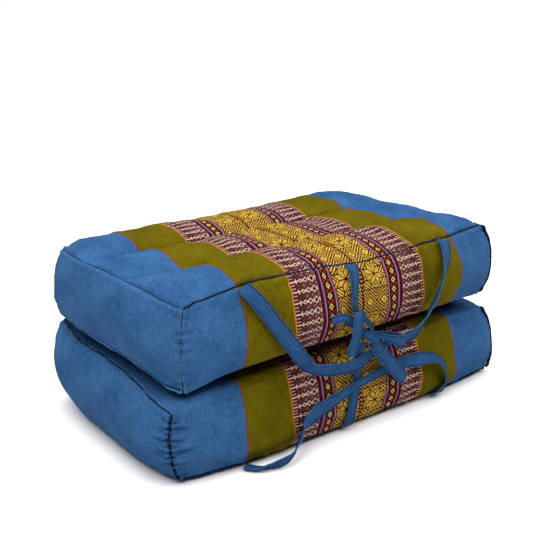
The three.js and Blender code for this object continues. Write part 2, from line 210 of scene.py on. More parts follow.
TIE_LOWER = [
    (-11.5, -133.8, 4.6, 0, 2, 0),
    (-11.5, -141.2, 15, 0, 0, 0),
    (-9.8, -142.2, 26, 1, -12, 0),
    (-6.3, -142.4, 38, 1.5, -16, 0),
    (-3.3, -142, 50, 1.5, -10, 0),
    (-1.8, -141.5, 62, 2, -5, 0),
    (-2.3, -143, 74, 3, -4, 0),
    (-3.5, -147, 87, 4, -8, 0),
    (-1, -150, 98, 5, -20, 0),
]

BOW_LOOP_LONG = [
    (4, -157.5, 99, 3, 42, 0),
    (12, -157.5, 89.5, -1, 42, 0),
    (27, -155.5, 73, -2, 42, 0),
    (41, -153.5, 57.5, -2, 41, 0),
    (51, -152, 46, 0, 44, 0),
    (54.5, -150.2, 43, 4, 50, 0),
    (50.5, -148.6, 46.5, 0, 44, 0),
    (40, -149, 58, 0, 41, 0),
    (26, -151, 73.5, 0, 42, 0),
    (12, -153, 88.5, 2, 42, 0),
    (5, -153.5, 97.5, 5, 42, 0),
]

BOW_LOOP_SHORT = [
    (9.5, -155.5, 104, 6.5, 70, 0),
    (18, -156.8, 101, 6, 66, 0),
    (32, -156.8, 94.5, 3, 70, 5),
    (44, -156.2, 89.5, -1, 80, 5),
    (49.5, -154.2, 88, -2, 82, 5),
    (45, -152.2, 89.5, -1, 80, 5),
    (32, -152.2, 97, 3, 76, 5),
    (18, -152.4, 102.5, 6, 72, 0),
    (9, -152, 104, 6, 70, 0),
]

BOW_END_FOLDED = [
    (4.5, -157.6, 107.5, 7, 42, 0),
    (0, -159.5, 116.5, 8, 44, 0),
    (-7, -158, 126, 6, 34, 0),
    (-12, -156.4, 131.5, 2, 18, 0),
    (-14.5, -158, 134, 1, 6, 0),
    (-16, -160.4, 131.5, 1, 2, 0),
    (-17.5, -161, 126, 0, 0, 0),
    (-19, -160, 112, 0, -6, 0),
    (-21.5, -158.5, 101, 0, -8, 0),
    (-23.5, -157.5, 92, 3, -8, 0),
]

BOW_END_LEFT = [
    (-5, -154, 108.5, 6, 46, 0),
    (-14, -156.2, 117.5, 5, 60, 0),
    (-21.5, -156.2, 125, 4, 66, 0),
    (-28, -155.8, 130.5, 4, 78, -10),
    (-35.5, -155.6, 132.6, 4, 96, -24),
    (-44, -154.6, 131.6, 4, 112, -8),
]

# The turn of tape round the knot, which slants across its front
KNOT_BAND = [
    (-6, -153, 111, 5, 60, 0),
    (-5, -157.5, 110, 4, 62, 10),
    (-1, -160.5, 107, 3, 66, 0),
    (4, -161, 103, 3, 64, 0),
    (8.5, -159, 99, 4, 62, -10),
    (10, -154.5, 97.5, 5, 60, 0),
]


# Small sums on numbers and arrays

def mix(a, b, k):
    return a + (b - a) * k


def clamp01(k):
    return np.clip(k, 0, 1)


def smooth(k):
    return k * k * (3 - 2 * k)


def eased(k):
    """A soft step, from 0 where k is 0 or less to 1 where it is 1 or more."""
    return smooth(clamp01(k))


def bell(distance, width, power=2):
    """1 at no distance, falling away on both sides over about the width."""
    return np.exp(-((distance / width) ** power))


def stuffed(k):
    """A stuffed curve: 0 at both sewn lines, 1 half-way between them."""
    return np.power(np.maximum(4 * k * (1 - k), 0), CHANNEL_POWER)


def fall(distance, reach):
    """Rise of a face near its seam: 0 at the seam and 1 from the given distance inwards."""
    k = clamp01(distance / reach)
    return np.power(k * (2 - k), SEAM_POWER)


def channel_rise(deep):
    """Three channels side by side, with a sewn valley between each two."""
    place = clamp01(deep) * CHANNELS
    return stuffed(place - np.minimum(np.floor(place), CHANNELS - 1))


def crowded(count):
    """Shares from 0 to 1 that lie closer together near both ends."""
    t = np.arange(count + 1) / count
    return t - CROWDING * np.sin(2 * math.pi * t) / (2 * math.pi)


def wander(place, seed, scale):
    """A smooth, repeatable wobble between about -1 and 1 along a line of places in mm."""
    steps = [noise.noise(Vector((p / scale, seed * 7.31, seed * 3.17))) for p in place]
    return np.array(steps) * WOBBLE


def wander_over(points, seed, scale):
    """The same wobble over points in space."""
    shift = Vector((seed * 5.7, seed * 2.3, seed * 9.1))
    return np.array([noise.noise(Vector(p) / scale + shift) for p in points]) * WOBBLE


def units(vectors):
    return vectors / np.linalg.norm(vectors, axis=1)[:, None]


def run_along(points):
    """How far along a line each of its points lies."""
    return np.concatenate([[0], np.cumsum(np.linalg.norm(np.diff(points, axis=0), axis=1))])


def read_along(places, run, values):
    """Points or directions that are known along a line, at other places along it."""
    return np.stack([np.interp(places, run, values[:, c]) for c in range(3)], axis=1)


def press_plane(y):
    """Height of the plane where the two leaves press on each other."""
    return FOLD_HEIGHT + PRESS_RISE * y / (DEPTH / 2)


# Meshes

def add_object(name, data):
    made = bpy.data.objects.new(name, data)
    bpy.context.scene.collection.objects.link(made)
    return made


def new_piece(name, points, faces):
    """An object at the origin whose mesh holds the points, given in mm."""
    mesh = bpy.data.meshes.new(name)
    mesh.from_pydata((np.asarray(points, float) * MM).tolist(), [], faces)
    mesh.update()
    piece = add_object(name, mesh)
    mesh.shade_smooth()
    return piece


def pick(piece):
    """Selects this piece alone, for an operator."""
    bpy.ops.object.select_all(action="DESELECT")
    piece.select_set(True)
    bpy.context.view_layer.objects.active = piece


def apply_modifier(piece, modifier):
    pick(piece)
    bpy.ops.object.modifier_apply(modifier=modifier.name)


def vertex_vectors(piece, kind):
    flat = np.zeros(len(piece.data.vertices) * 3)
    piece.data.vertices.foreach_get(kind, flat)
    return flat.reshape(-1, 3)


def vertex_points(piece):
    return vertex_vectors(piece, "co") / MM


def move_vertices(piece, points):
    piece.data.vertices.foreach_set("co", (points * MM).astype(np.float32).ravel())
    piece.data.update()


def vertex_normals(piece):
    return vertex_vectors(piece, "normal")


def point_attribute(piece, name, values):
    attribute = piece.data.attributes.new(name, "FLOAT", "POINT")
    attribute.data.foreach_set("value", np.asarray(values, np.float32))


def read_attribute(piece, name):
    values = np.zeros(len(piece.data.vertices), np.float32)
    piece.data.attributes[name].data.foreach_get("value", values)
    return values.astype(float)


def set_uv(piece, corners):
    """Lays the cloth's flat coordinates, in mm, on the corners of the faces."""
    layer = piece.data.uv_layers.new(name="cloth")
    layer.uv.foreach_set("vector", (np.asarray(corners, np.float32) * MM).ravel())


# The stuffed leaves

def skin(leaf, along, deep, high):
    """Points on the skin of a leaf. along, deep and high are shares: left to right, front to back
    and bottom to top, and at least one of them is 0 or 1 at each point."""
    edges = leaf["edges"]
    bulge = leaf["bulge"]
    length = leaf["right"] - leaf["left"]
    x = mix(leaf["left"], leaf["right"], along)
    y = mix(
        mix(edges["frontLow"][0], edges["frontHigh"][0], high),
        mix(edges["backLow"][0], edges["backHigh"][0], high),
        deep,
    )
    z = mix(
        mix(edges["frontLow"][1], edges["backLow"][1], deep),
        mix(edges["frontHigh"][1], edges["backHigh"][1], deep),
        high,
    )
    from_left = along * length
    from_right = (1 - along) * length
    from_front = deep * DEPTH
    from_back = (1 - deep) * DEPTH
    bow = stuffed(high)
    for side, row, dx, dy, dz, bow_x, bow_y in leaf["corners"]:
        share = high if row.endswith("High") else 1 - high
        long_way = from_left if side == "left" else from_right
        deep_way = from_front if row.startswith("front") else from_back
        pull = share * eased(1 - long_way / CORNER_REACH_LONG)
        pull = pull * eased(1 - deep_way / CORNER_REACH_DEEP)
        x = x + (dx + bow_x * bow) * pull
        y = y + (dy + bow_y * bow) * pull
        z = z + dz * pull
    length_fall = fall(from_left, END_FALL) * fall(from_right, END_FALL)
    z = z + leaf["end_lift"] * high * stuffed(deep) * (1 - fall(from_left, END_FALL))
    z = z - leaf["valley_sink"] * high * stuffed(deep) ** 2 * length_fall
    side_fall = fall(from_left, SIDE_FALL) * fall(from_right, SIDE_FALL)
    end_fall = fall(from_front, SIDE_FALL) * fall(from_back, SIDE_FALL)
    base_y = y
    base_z = z
    y = y - np.where(deep == 0, bulge["front"] * bow * side_fall, 0)
    y = y + np.where(deep == 1, bulge["back"] * bow * side_fall, 0)
    x = x - np.where(along == 0, bulge["left"] * bow * end_fall, 0)
    x = x + np.where(along == 1, bulge["right"] * bow * end_fall, 0)
    rise = channel_rise(deep) * length_fall
    raised = base_z + leaf["crown_high"] * rise
    sunk = base_z - leaf["crown_low"] * rise
    if leaf is UPPER_LEAF:
        sunk = np.maximum(sunk, press_plane(base_y) + PIECE_GAP / 2)
    else:
        raised = np.minimum(raised, press_plane(base_y) - PIECE_GAP / 2)
        sunk = np.maximum(sunk, 0)
    z = np.where(high == 1, np.maximum(base_z, raised), z)
    z = np.where(high == 0, np.minimum(base_z, sunk), z)
    return np.stack([x, y, z], axis=1)


def arc_lengths(leaf, deep, high):
    """How far along the cloth each step of a line round the leaf's middle lies, from its start."""
    return run_along(skin(leaf, np.full(len(deep), 0.5), deep, high))


def leaf_piece(leaf):
    """The cloth skin of a leaf on a grid, with the cloth's own coordinates and the seam lines."""
    longs = crowded(STEPS_LONG)
    channel = crowded(STEPS_CHANNEL)
    deeps = np.concatenate([(channel[:-1] + c) / CHANNELS for c in range(CHANNELS)] + [[1.0]])
    highs = crowded(STEPS_HIGH)
    nx, ny, nz = STEPS_LONG, len(deeps) - 1, STEPS_HIGH

    # Cloth lengths up the front, back along the top and the bottom, and up the back, from the
    # ridge seam, which is at the front's top on one leaf and at its bottom on the other
    front = arc_lengths(leaf, np.zeros(nz + 1), highs)
    top = arc_lengths(leaf, deeps, np.ones(ny + 1))
    bottom = arc_lengths(leaf, deeps, np.zeros(ny + 1))
    back = arc_lengths(leaf, np.ones(nz + 1), highs)
    if leaf["ridge"] == "frontHigh":
        front_v = front[-1] - front
        bottom_v = front[-1] + bottom
        top_v = -top
        back_v = -top[-1] - (back[-1] - back)
    else:
        front_v = front
        top_v = front[-1] + top
        bottom_v = -bottom
        back_v = -bottom[-1] - back

    front_v, top_v, bottom_v, back_v = (
        v + leaf["weave_shift"] for v in (front_v, top_v, bottom_v, back_v)
    )

    known = {}
    places = []

    def vertex(i, j, k):
        if (i, j, k) not in known:
            known[(i, j, k)] = len(places)
            places.append((longs[i], deeps[j], highs[k]))
        return known[(i, j, k)]

    across = mix(leaf["left"], leaf["right"], longs) - leaf["cloth_shift"]
    squeeze = clamp01((BAND["green"] - np.abs(across)) / (BAND["green"] - BAND["comb"]))
    across = across * (1 + leaf["squeeze"] * squeeze)
    end_y = deeps * DEPTH
    end_z = highs * LEAF_HEIGHT
    faces = []
    corners = []

    def quad(cells, flat):
        faces.append([vertex(*cell) for cell in cells])
        corners.extend(flat(*cell) for cell in cells)

    for i in range(nx):
        for j in range(ny):
            quad(
                [(i, j, nz), (i + 1, j, nz), (i + 1, j + 1, nz), (i, j + 1, nz)],
                lambda a, b, c: (across[a], top_v[b]),
            )
            quad(
                [(i, j, 0), (i, j + 1, 0), (i + 1, j + 1, 0), (i + 1, j, 0)],
                lambda a, b, c: (across[a], bottom_v[b]),
            )
        for k in range(nz):
            quad(
                [(i, 0, k), (i + 1, 0, k), (i + 1, 0, k + 1), (i, 0, k + 1)],
                lambda a, b, c: (across[a], front_v[c]),
            )
            quad(
                [(i, ny, k), (i, ny, k + 1), (i + 1, ny, k + 1), (i + 1, ny, k)],
                lambda a, b, c: (across[a], back_v[c]),
            )
    for j in range(ny):
        for k in range(nz):
            quad(
                [(0, j, k), (0, j, k + 1), (0, j + 1, k + 1), (0, j + 1, k)],
                lambda a, b, c: (-LENGTH + end_z[c], end_y[b]),
            )
            quad(
                [(nx, j, k), (nx, j + 1, k), (nx, j + 1, k + 1), (nx, j, k + 1)],
                lambda a, b, c: (LENGTH - end_z[c], end_y[b]),
            )
    places = np.array(places)
    points = skin(leaf, places[:, 0], places[:, 1], places[:, 2])
    piece = new_piece(leaf["name"] + "_cloth", points, faces)
    set_uv(piece, corners)
    for name, column in zip(("along", "deep", "high"), places.T):
        point_attribute(piece, name, column)
    rows = {}
    for level, k in (("High", nz), ("Low", 0)):
        rows["front" + level] = [known[(i, 0, k)] for i in range(nx + 1)]
        rows["back" + level] = [known[(i, ny, k)] for i in range(nx + 1)]
        rows["left" + level] = [known[(0, j, k)] for j in range(ny + 1)]
        rows["right" + level] = [known[(nx, j, k)] for j in range(ny + 1)]
    for side, i in (("left", 0), ("right", nx)):
        rows[side + "Front"] = [known[(i, 0, k)] for k in range(nz + 1)]
        rows[side + "Back"] = [known[(i, ny, k)] for k in range(nz + 1)]
    return piece, rows


class SkinPlaces:
    """Where the points of a leaf's skin lie: their shares, and how far they are, in mm, from each
    side, from the nearest ends, faces and levels, from a seam and from a channel's stitching."""

    def __init__(self, piece, leaf):
        shares = [read_attribute(piece, name) for name in ("along", "deep", "high")]
        self.along, self.deep, self.high = shares
        length = leaf["right"] - leaf["left"]
        self.left, self.right = self.along * length, (1 - self.along) * length
        self.front, self.back = self.deep * DEPTH, (1 - self.deep) * DEPTH
        self.low, self.top = self.high * LEAF_HEIGHT, (1 - self.high) * LEAF_HEIGHT
        self.end = np.minimum(self.left, self.right)
        self.face = np.minimum(self.front, self.back)
        self.level = np.minimum(self.low, self.top)
        self.seam = np.sort(np.stack([self.end, self.face, self.level]), axis=0)[1]
        self.channel = self.deep * CHANNELS
        self.valley = np.abs(self.channel - np.round(self.channel)) * DEPTH / CHANNELS


# Simulated stuffing: the seams and channel stitching are held, the cloth between them is a little
# larger than the shape, and pressure fills it, so it puckers at the seams by itself
STUFFING = {
    "quality": 4,
    "mass": 0.25,
    "tension_stiffness": 25,
    "compression_stiffness": 25,
    "shear_stiffness": 8,
    "bending_stiffness": 0.35,
    "vertex_group_mass": "held",
    "pin_stiffness": 1,
    "use_pressure": True,
    "uniform_pressure_force": 1.0,
    "shrink_min": -0.03,
}
STUFFING_FRAMES = 20
HELD = {"seam": 1.0, "valley": 0.9, "flat": 0.8}
# The furthest that the stuffing moves the cloth, in mm, and the share of it left at the ends
STUFFING_CAP = 3.0
STUFFING_AT_ENDS = {"share": 0.35, "reach": 60}
SEAM_CREASE = 0.8


def stuff(piece, leaf):
    start = vertex_points(piece)
    at = SkinPlaces(piece, leaf)
    at_seam = at.seam < ON_SEAM
    at_valley = (at.valley < ON_SEAM) & (at.level < ON_SEAM) & (at.end > END_FALL * 0.5)
    press = press_plane(start[:, 1])
    if leaf is UPPER_LEAF:
        flat = (at.high == 0) & (start[:, 2] < press + 1)
    else:
        flat = (at.high == 0) & (start[:, 2] < 0.5) | (at.high == 1) & (start[:, 2] > press - 1)
    held = at_seam * HELD["seam"] + at_valley * HELD["valley"] + flat * HELD["flat"]
    held = np.clip(held, 0, 1)
    group = piece.vertex_groups.new(name="held")
    for index in np.nonzero(held)[0]:
        group.add([int(index)], float(held[index]), "REPLACE")

    cloth = piece.modifiers.new("stuffing", "CLOTH")
    for name, value in STUFFING.items():
        setattr(cloth.settings, name, value)
    cloth.settings.effector_weights.gravity = 0
    cloth.collision_settings.use_collision = False
    cloth.point_cache.frame_start = 1
    cloth.point_cache.frame_end = STUFFING_FRAMES
    for step in range(1, STUFFING_FRAMES + 1):
        bpy.context.scene.frame_set(step)
    apply_modifier(piece, cloth)
    bpy.context.scene.frame_set(1)
    moved = vertex_points(piece) - start
    size = np.linalg.norm(moved, axis=1)
    capped = STUFFING_CAP * np.tanh(size / STUFFING_CAP)
    scale = np.where(size > 1e-6, capped / np.maximum(size, 1e-6), 0)
    near_end = STUFFING_AT_ENDS
    scale = scale * mix(near_end["share"], 1, eased(at.end / near_end["reach"]))
    move_vertices(piece, start + moved * scale[:, None])


def gathers(place, reach_share, pitch, seed):
    """Uneven small folds across a seam. place runs along it, and reach_share falls off from it."""
    phase = place / pitch + 0.55 * wander(place, seed, pitch * 2.2)
    strength = 0.55 + 0.45 * wander(place, seed + 1, pitch * 3.1)
    return np.sin(2 * math.pi * phase) * strength * reach_share


def gather_share(away, reach, start=1.5):
    """How strong gathers are away from their seam: none on it, then most, then less and less."""
    return bell(away, reach, 1.4) * clamp01(away / start)


# Gathers that cross the plain seams round the ends: the two sides that meet in the seam, the side
# from which places along it are counted, then depth, pitch and reach of the gathers
PLAIN_SEAMS = [
    ("left", "top", "front", 0.5, 6.5, 9),
    ("left", "low", "front", 0.7, 7.5, 10),
    ("right", "top", "front", 0.4, 7, 9),
    ("right", "low", "front", 0.6, 7, 9),
    ("left", "front", "low", 0.4, 8, 9),
    ("right", "front", "low", 0.8, 8, 10),
    ("left", "back", "low", 0.3, 9, 10),
    ("right", "back", "low", 0.7, 8, 10),
]

# Across a seam: height, place and width of the swell beside it, and depth and width of its crease
PLAIN_PROFILE = (1.0, 3.4, 2.3, 0.9, 1.3)
RIDGE_PROFILE = (0.8, 4.2, 2.6, 0.9, 1.9)

# Unevenness of the stuffing: height, seed and scale of each wobble
UNEVEN = [(0.8, 3, 55), (0.25, 5, 17)]


def seam_profile(away, swell, place, swell_width, crease, crease_width):
    return swell * bell(away - place, swell_width) - crease * bell(away, crease_width)


# Puckers at the heavily stitched front corner of the lower leaf: how high on the seam in mm, how
# far each runs into the front and into the end, its drop over that run, half width and depth
CORNER_PUCKERS = [
    (75, 10, 6, 1, 2.0, 2.7),
    (69, 17, 9, 3, 2.2, 4.2),
    (62.5, 9, 12, -2, 2.0, 3.0),
    (56, 14, 14, 3, 2.0, 3.9),
    (49, 8, 8, 0, 1.9, 2.4),
    (42, 22, 10, 1, 2.3, 4.8),
    (34, 8, 18, -5, 2.2, 3.6),
    (26, 12, 10, 2, 2.0, 2.7),
    (17, 8, 15, -4, 2.2, 3.3),
    (8, 9, 8, 2, 2.0, 2.1),
]

UPPER_CORNER_PUCKERS = [
    (74, 9, 5, 1, 1.8, 1.4),
    (62, 12, 6, 2, 1.8, 1.8),
    (53, 9, 7, -1, 1.6, 1.6),
    (44, 13, 5, 1, 1.8, 2.0),
    (33, 10, 7, 2, 1.6, 1.4),
    (21, 11, 6, 1, 1.8, 1.7),
    (11, 13, 8, 3, 1.8, 1.8),
]


# The dark slot between the leaves at the open front: where along x, how high the upper leaf's edge
# is above it, and how high the lower leaf's cloth lies in it
SLOT_ROWS = [
    (-195, 94.5, 80),
    (-186, 97.5, 82),
    (-176, 99, 84.5),
    (-166, 101.4, 85.5),
    (-155, 103.2, 85.5),
    (-134, 104.8, 85.5),
    (-112, 105.6, 85.5),
    (-100, 106.2, 85.5),
    (40, 106.2, 87.5),
    (92, 106.2, 88.5),
    (115, 106.5, 87.5),
    (150, 106.5, 84.5),
    (190, 104, 83),
]
SLOT = {"from": -86, "to": -64, "edge": -140, "slope": 0.39, "skew": 0.65}


def slot_floor(x, y):
    """Height of the lower leaf's cloth in the open slot at the front."""
    wheres, _, floors = zip(*SLOT_ROWS)
    share = eased((y - SLOT["from"]) / (SLOT["to"] - SLOT["from"]))
    return mix(np.interp(x, wheres, floors), press_plane(y) - 0.2, share)


def slot_ceiling(x, y):
    """Height of the upper leaf's cloth over that slot, which closes it towards the back."""
    wheres, ceilings, _ = zip(*SLOT_ROWS)
    inwards = y - SLOT["edge"]
    closing = np.interp(x - SLOT["skew"] * inwards, wheres, ceilings) - SLOT["slope"] * inwards
    return np.maximum(closing, slot_floor(x, y) + 0.6)


# How the upper leaf's front seam rises and dips along its length, in mm: where along x, the rise
# that the whole front channel shares, and the dip of the seam alone
FRONT_SWAY = [
    (-192, 0, 0),
    (-184, 1.8, 0),
    (-172, 5.2, 0),
    (-141, 5.4, 0),
    (-118, 4.6, 0),
    (-91, 3.6, 0),
    (-45, 2.4, 0),
    (-20, 0.4, -0.4),
    (12, 0, -3.4),
    (33, 0, -2.4),
    (54, 0, -1.8),
    (76, 0, -1),
    (100, 0, 0),
]


CORNER_ROUND = {"reach": 13, "pull": 4.2}

# How the upper leaf lies, in mm: the arch of its left end, with a crest near the back, how far the
# sway of its front seam reaches, and the pull on its low corner at the left of the back
UPPER_LIE = {
    "arch": 3.5,
    "arch_reach": 42,
    "crest_at": 16,
    "crest_reach": 22,
    "seam_reach": 36,
    "corner_reach": 28,
    "corner_out": 7,
    "corner_up": 6.5,
}

# How the lower leaf lies: its front edge stands forward and up, and its left end bulges to the back
LOWER_LIE = {"reach": 24, "forward": 5, "up": 2, "inset": 45, "left_out": 5, "strip_reach": 52}


def lie_of_upper(points, at):
    lie = UPPER_LIE
    arch = np.sin(math.pi * np.clip(at.deep, 0, 1) ** 0.8) ** 1.2
    points[:, 2] += lie["arch"] * arch * at.high * bell(at.left, lie["arch_reach"])
    crest = eased((at.deep - 0.62) / 0.25) * eased(at.back / 10) * eased(at.left / 12)
    crest_share = bell(at.left - lie["crest_at"], lie["crest_reach"])
    points[:, 2] += lie["arch"] * crest * at.high * crest_share
    wheres, rises, dips = zip(*FRONT_SWAY)
    wide = np.where(at.deep == 0, eased(1 - at.top / 50), at.high * eased((112 - at.front) / 58))
    at_seam = eased(1 - (at.front + at.top) / lie["seam_reach"])
    points[:, 2] += np.interp(points[:, 0], wheres, rises) * wide
    points[:, 2] += np.interp(points[:, 0], wheres, dips) * at_seam
    back_low = bell(at.left + at.low, lie["corner_reach"]) * eased((at.deep - 0.12) / 0.8)
    points[:, 0] -= lie["corner_out"] * back_low
    points[:, 2] += lie["corner_up"] * back_low


def lie_of_lower(points, at):
    lie = LOWER_LIE
    push = bell(at.top + at.front, lie["reach"])
    push = push * eased(at.left / lie["inset"]) * eased(at.right / lie["inset"])
    points[:, 1] -= lie["forward"] * push
    points[:, 2] += lie["up"] * push
    to_back = eased((at.deep - 0.3) / 0.7)
    points[:, 0] -= lie["left_out"] * bell(at.left + at.top, lie["reach"]) * to_back

    # The cloth in the slot, and the strip along the left end between the leaves
    inside = (at.high == 1) * clamp01(at.front / 5)
    floor = slot_floor(points[:, 0], points[:, 1])
    points[:, 2] = mix(points[:, 2], np.minimum(points[:, 2], floor), inside)
    edges = LOWER_LEAF["edges"]
    edge = mix(edges["frontHigh"][1], edges["backHigh"][1], at.deep) + 1
    edge = edge + 1.5 * gathers(at.front, np.exp(-at.left / 16), 9, 67)
    strip = (at.high == 1) * eased(1 - at.left / lie["strip_reach"]) * clamp01(at.left / 4)
    points[:, 2] = mix(points[:, 2], np.minimum(points[:, 2], edge), strip)


def round_corners(points, at, leaf):
    """Draws the leaf's eight corners in a little, towards its middle."""
    middle = np.array([0, 0, np.mean([row[1] for row in leaf["edges"].values()])])
    corners = product((at.left, at.right), (at.front, at.back), (at.low, at.top))
    for ends, faces, levels in corners:
        away = ends ** 2 + faces ** 2 + levels ** 2
        near = np.exp(-(away / CORNER_ROUND["reach"] ** 2))
        points += units(middle - points) * (CORNER_ROUND["pull"] * near)[:, None]


def settle(points, at, leaf):
    """Keeps the leaves apart and off the floor, and lays the upper one's brim over the slot."""
    if leaf is LOWER_LEAF:
        press = press_plane(points[:, 1])
        points[:, 2] = np.maximum(points[:, 2], 0.0)
        lowered = np.minimum(points[:, 2], press - 0.1)
        points[:, 2] = np.where(at.high > 0.5, lowered, points[:, 2])
        return
    inner = eased(at.left / 18) * eased(at.right / 18)
    clear = slot_floor(points[:, 0], points[:, 1]) + PIECE_GAP
    points[:, 2] = np.maximum(points[:, 2], clear)
    brim = skin(leaf, at.along, np.zeros(len(points)), np.zeros(len(points)))
    lift_brim = (slot_ceiling(brim[:, 0], brim[:, 1]) - brim[:, 2]) * inner
    points[:, 2] += (at.deep == 0) * lift_brim * eased(1 - at.low / 42)
    over = (at.high == 0) * eased((SLOT["to"] + 8 - points[:, 1]) / 14) * inner
    points[:, 2] = mix(points[:, 2], slot_ceiling(points[:, 0], points[:, 1]), over)


def relief(piece, leaf):
    """The small shapes of the sewn cloth: creases, gathers, puckers and uneven stuffing."""
    points = vertex_points(piece)
    normals = vertex_normals(piece)
    at = SkinPlaces(piece, leaf)
    number = leaf["number"]
    lift = np.zeros(len(points))

    # Plain seams round the ends: a crease, and gathers that cross it
    for seed, (side, other, counted, *gathered) in enumerate(PLAIN_SEAMS):
        depth, pitch, reach = leaf["gathers"].get((side, other), gathered)
        away = getattr(at, side) + getattr(at, other)
        share = gather_share(away, reach)
        lift += depth * gathers(getattr(at, counted), share, pitch, seed + 20 + 20 * number)
        lift += seam_profile(away, *PLAIN_PROFILE)

    # The long ridge seam: the cloth dips just before it and is pulled in small waves
    ridge = at.front + (at.top if leaf["ridge"] == "frontHigh" else at.low)
    lift += 0.45 * gathers(at.left, gather_share(ridge, 9), 11, 71 + number)
    lift += seam_profile(ridge, *RIDGE_PROFILE)

    # Stitching of the channels, on the top and on the bottom
    nearest = np.round(at.channel)
    between = (nearest > 0) & (nearest < CHANNELS)
    inward = fall(at.left, END_FALL) * fall(at.right, END_FALL)
    stitched = between * (at.level < ON_SEAM) * inward
    lift -= 1.3 * bell(at.valley, 2.6) * stitched
    share = gather_share(at.valley, 13, 2) * stitched
    lift += 0.45 * gathers(at.left, share, 13, 81 + number)

    # Puckers at the front left corner seam
    puckers = UPPER_CORNER_PUCKERS if leaf is UPPER_LEAF else CORNER_PUCKERS
    for rise, into_front, into_end, drop, half, depth in puckers:
        for run, reach, on_face in (
            (at.left, into_front, at.deep < ON_SIDE),
            (at.front, into_end, at.along < ON_SIDE),
        ):
            middle = rise - drop * run / reach
            width = half * (0.75 + 0.45 * run / reach)
            across = (at.low - middle) / width
            along_it = clamp01(1 - run / reach) ** 0.6 * clamp01(run / 1.5 + 0.3)
            lift += on_face * 1.25 * depth * along_it * (
                0.5 * bell(across - 1.6, 1) - bell(across, 1)
            )

    # Uneven stuffing under the cloth, calmer at the seams and on the ends
    calm = eased(at.seam / 18)
    calm = calm * np.where((at.along < ON_SIDE) | (at.along > 1 - ON_SIDE), 0.5, 1.0)
    for height, seed, scale in UNEVEN:
        lift += height * wander_over(points, seed + number, scale) * calm

    points = points + normals * lift[:, None]
    if leaf is UPPER_LEAF:
        lie_of_upper(points, at)
    else:
        lie_of_lower(points, at)
    round_corners(points, at, leaf)
    settle(points, at, leaf)
    move_vertices(piece, points)


# The fold band: how far it stays from the ends and from the seams, as shares, then its distance
# from the leaves, thickness and bow in mm, and its steps along and round
FOLD_BAND = {
    "share": 0.03,
    "inset": 0.06,
    "clear": 0.5,
    "thick": 1.5,
    "bow": 1.6,
    "steps": 120,
    "arc": 10,
}


def make_fold_band():
    """The strip of cover cloth that joins the two leaves along the back, as a hinge."""
    count = FOLD_BAND["steps"]
    along = mix(FOLD_BAND["share"], 1 - FOLD_BAND["share"], np.arange(count + 1) / count)
    above = skin(UPPER_LEAF, along, np.ones(count + 1), np.zeros(count + 1))
    below = skin(LOWER_LEAF, along, np.ones(count + 1), np.ones(count + 1))
    wave = 0.35 * gathers(above[:, 0], 1.0, 8, 61)
    points = []
    flat = []
    arc = FOLD_BAND["arc"]
    for layer in (0, 1):
        for k in range(arc + 1):
            share = k / arc if layer == 0 else 1 - k / arc
            inset = mix(FOLD_BAND["inset"], 1 - FOLD_BAND["inset"], share)
            row = mix(above, below, inset)
            bow = 4 * share * (1 - share)
            row[:, 1] += FOLD_BAND["clear"] + layer * FOLD_BAND["thick"] * (0.5 + 0.5 * bow)
            row[:, 1] += FOLD_BAND["bow"] * bow + wave * bow * layer
            points.append(row)
            flat.append(share * np.linalg.norm(above[count // 2] - below[count // 2]))
    rows = len(points)
    faces = []
    corners = []
    for k in range(rows):
        m = (k + 1) % rows
        for i in range(count):
            cells = [(k, i), (m, i), (m, i + 1), (k, i + 1)]
            faces.append([a * (count + 1) + b for a, b in cells])
            corners.extend((above[b][0], flat[a] - STAR_ROW) for a, b in cells)
    half = rows // 2
    for k in range(half - 1):
        far = rows - 1 - k
        near_cap = [far, far - 1, k + 1, k]
        faces.append([a * (count + 1) for a in near_cap])
        faces.append([a * (count + 1) + count for a in reversed(near_cap)])
        corners.extend((above[0][0], flat[a]) for a in near_cap)
        corners.extend((above[-1][0], flat[a]) for a in near_cap)
    piece = new_piece("fold_band_cloth", np.concatenate(points), faces)
    set_uv(piece, corners)
    return piece, float(above[-1][0] - above[0][0]), float(max(flat))


def sharpen(piece, rows):
    """Keeps the sewn edges crisp when the cloth is made finer."""
    pairs = set()
    for row in rows.values():
        pairs.update(tuple(sorted(pair)) for pair in zip(row[:-1], row[1:]))
    crease = piece.data.attributes.new("crease_edge", "FLOAT", "EDGE")
    values = [SEAM_CREASE if tuple(sorted(e.vertices)) in pairs else 0.0 for e in piece.data.edges]
    crease.data.foreach_set("value", values)


def make_leaf(leaf):
    piece, rows = leaf_piece(leaf)
    stuff(piece, leaf)
    sharpen(piece, rows)
    finer = piece.modifiers.new("finer", "SUBSURF")
    finer.levels = finer.render_levels = 1
    apply_modifier(piece, finer)
    relief(piece, leaf)
    points, normals = vertex_points(piece), vertex_normals(piece)
    seams = {name: (points[row], normals[row]) for name, row in rows.items()}
    return piece, seams


# Tapes

def route_point(points, t):
    """A point at share t on a centripetal Catmull-Rom curve through the points."""
    place = t * (len(points) - 1)
    at = min(max(int(math.floor(place)), 0), len(points) - 2)
    w = place - at
    p1, p2 = points[at], points[at + 1]
    p0 = points[at - 1] if at > 0 else 2 * p1 - p2
    p3 = points[at + 2] if at + 2 < len(points) else 2 * p2 - p1
    spans = ((p0, p1), (p1, p2), (p2, p3))
    d0, d1, d2 = (max(np.linalg.norm(b - a), 1e-6) ** 0.5 for a, b in spans)
    m1 = ((p1 - p0) / d0 - (p2 - p0) / (d0 + d1) + (p2 - p1) / d1) * d1
    m2 = ((p2 - p1) / d1 - (p3 - p1) / (d1 + d2) + (p3 - p2) / d2) * d1
    return (
        p1 + m1 * w
        + (3 * (p2 - p1) - 2 * m1 - m2) * w * w
        + (2 * (p1 - p2) + m1 + m2) * w * w * w
    )


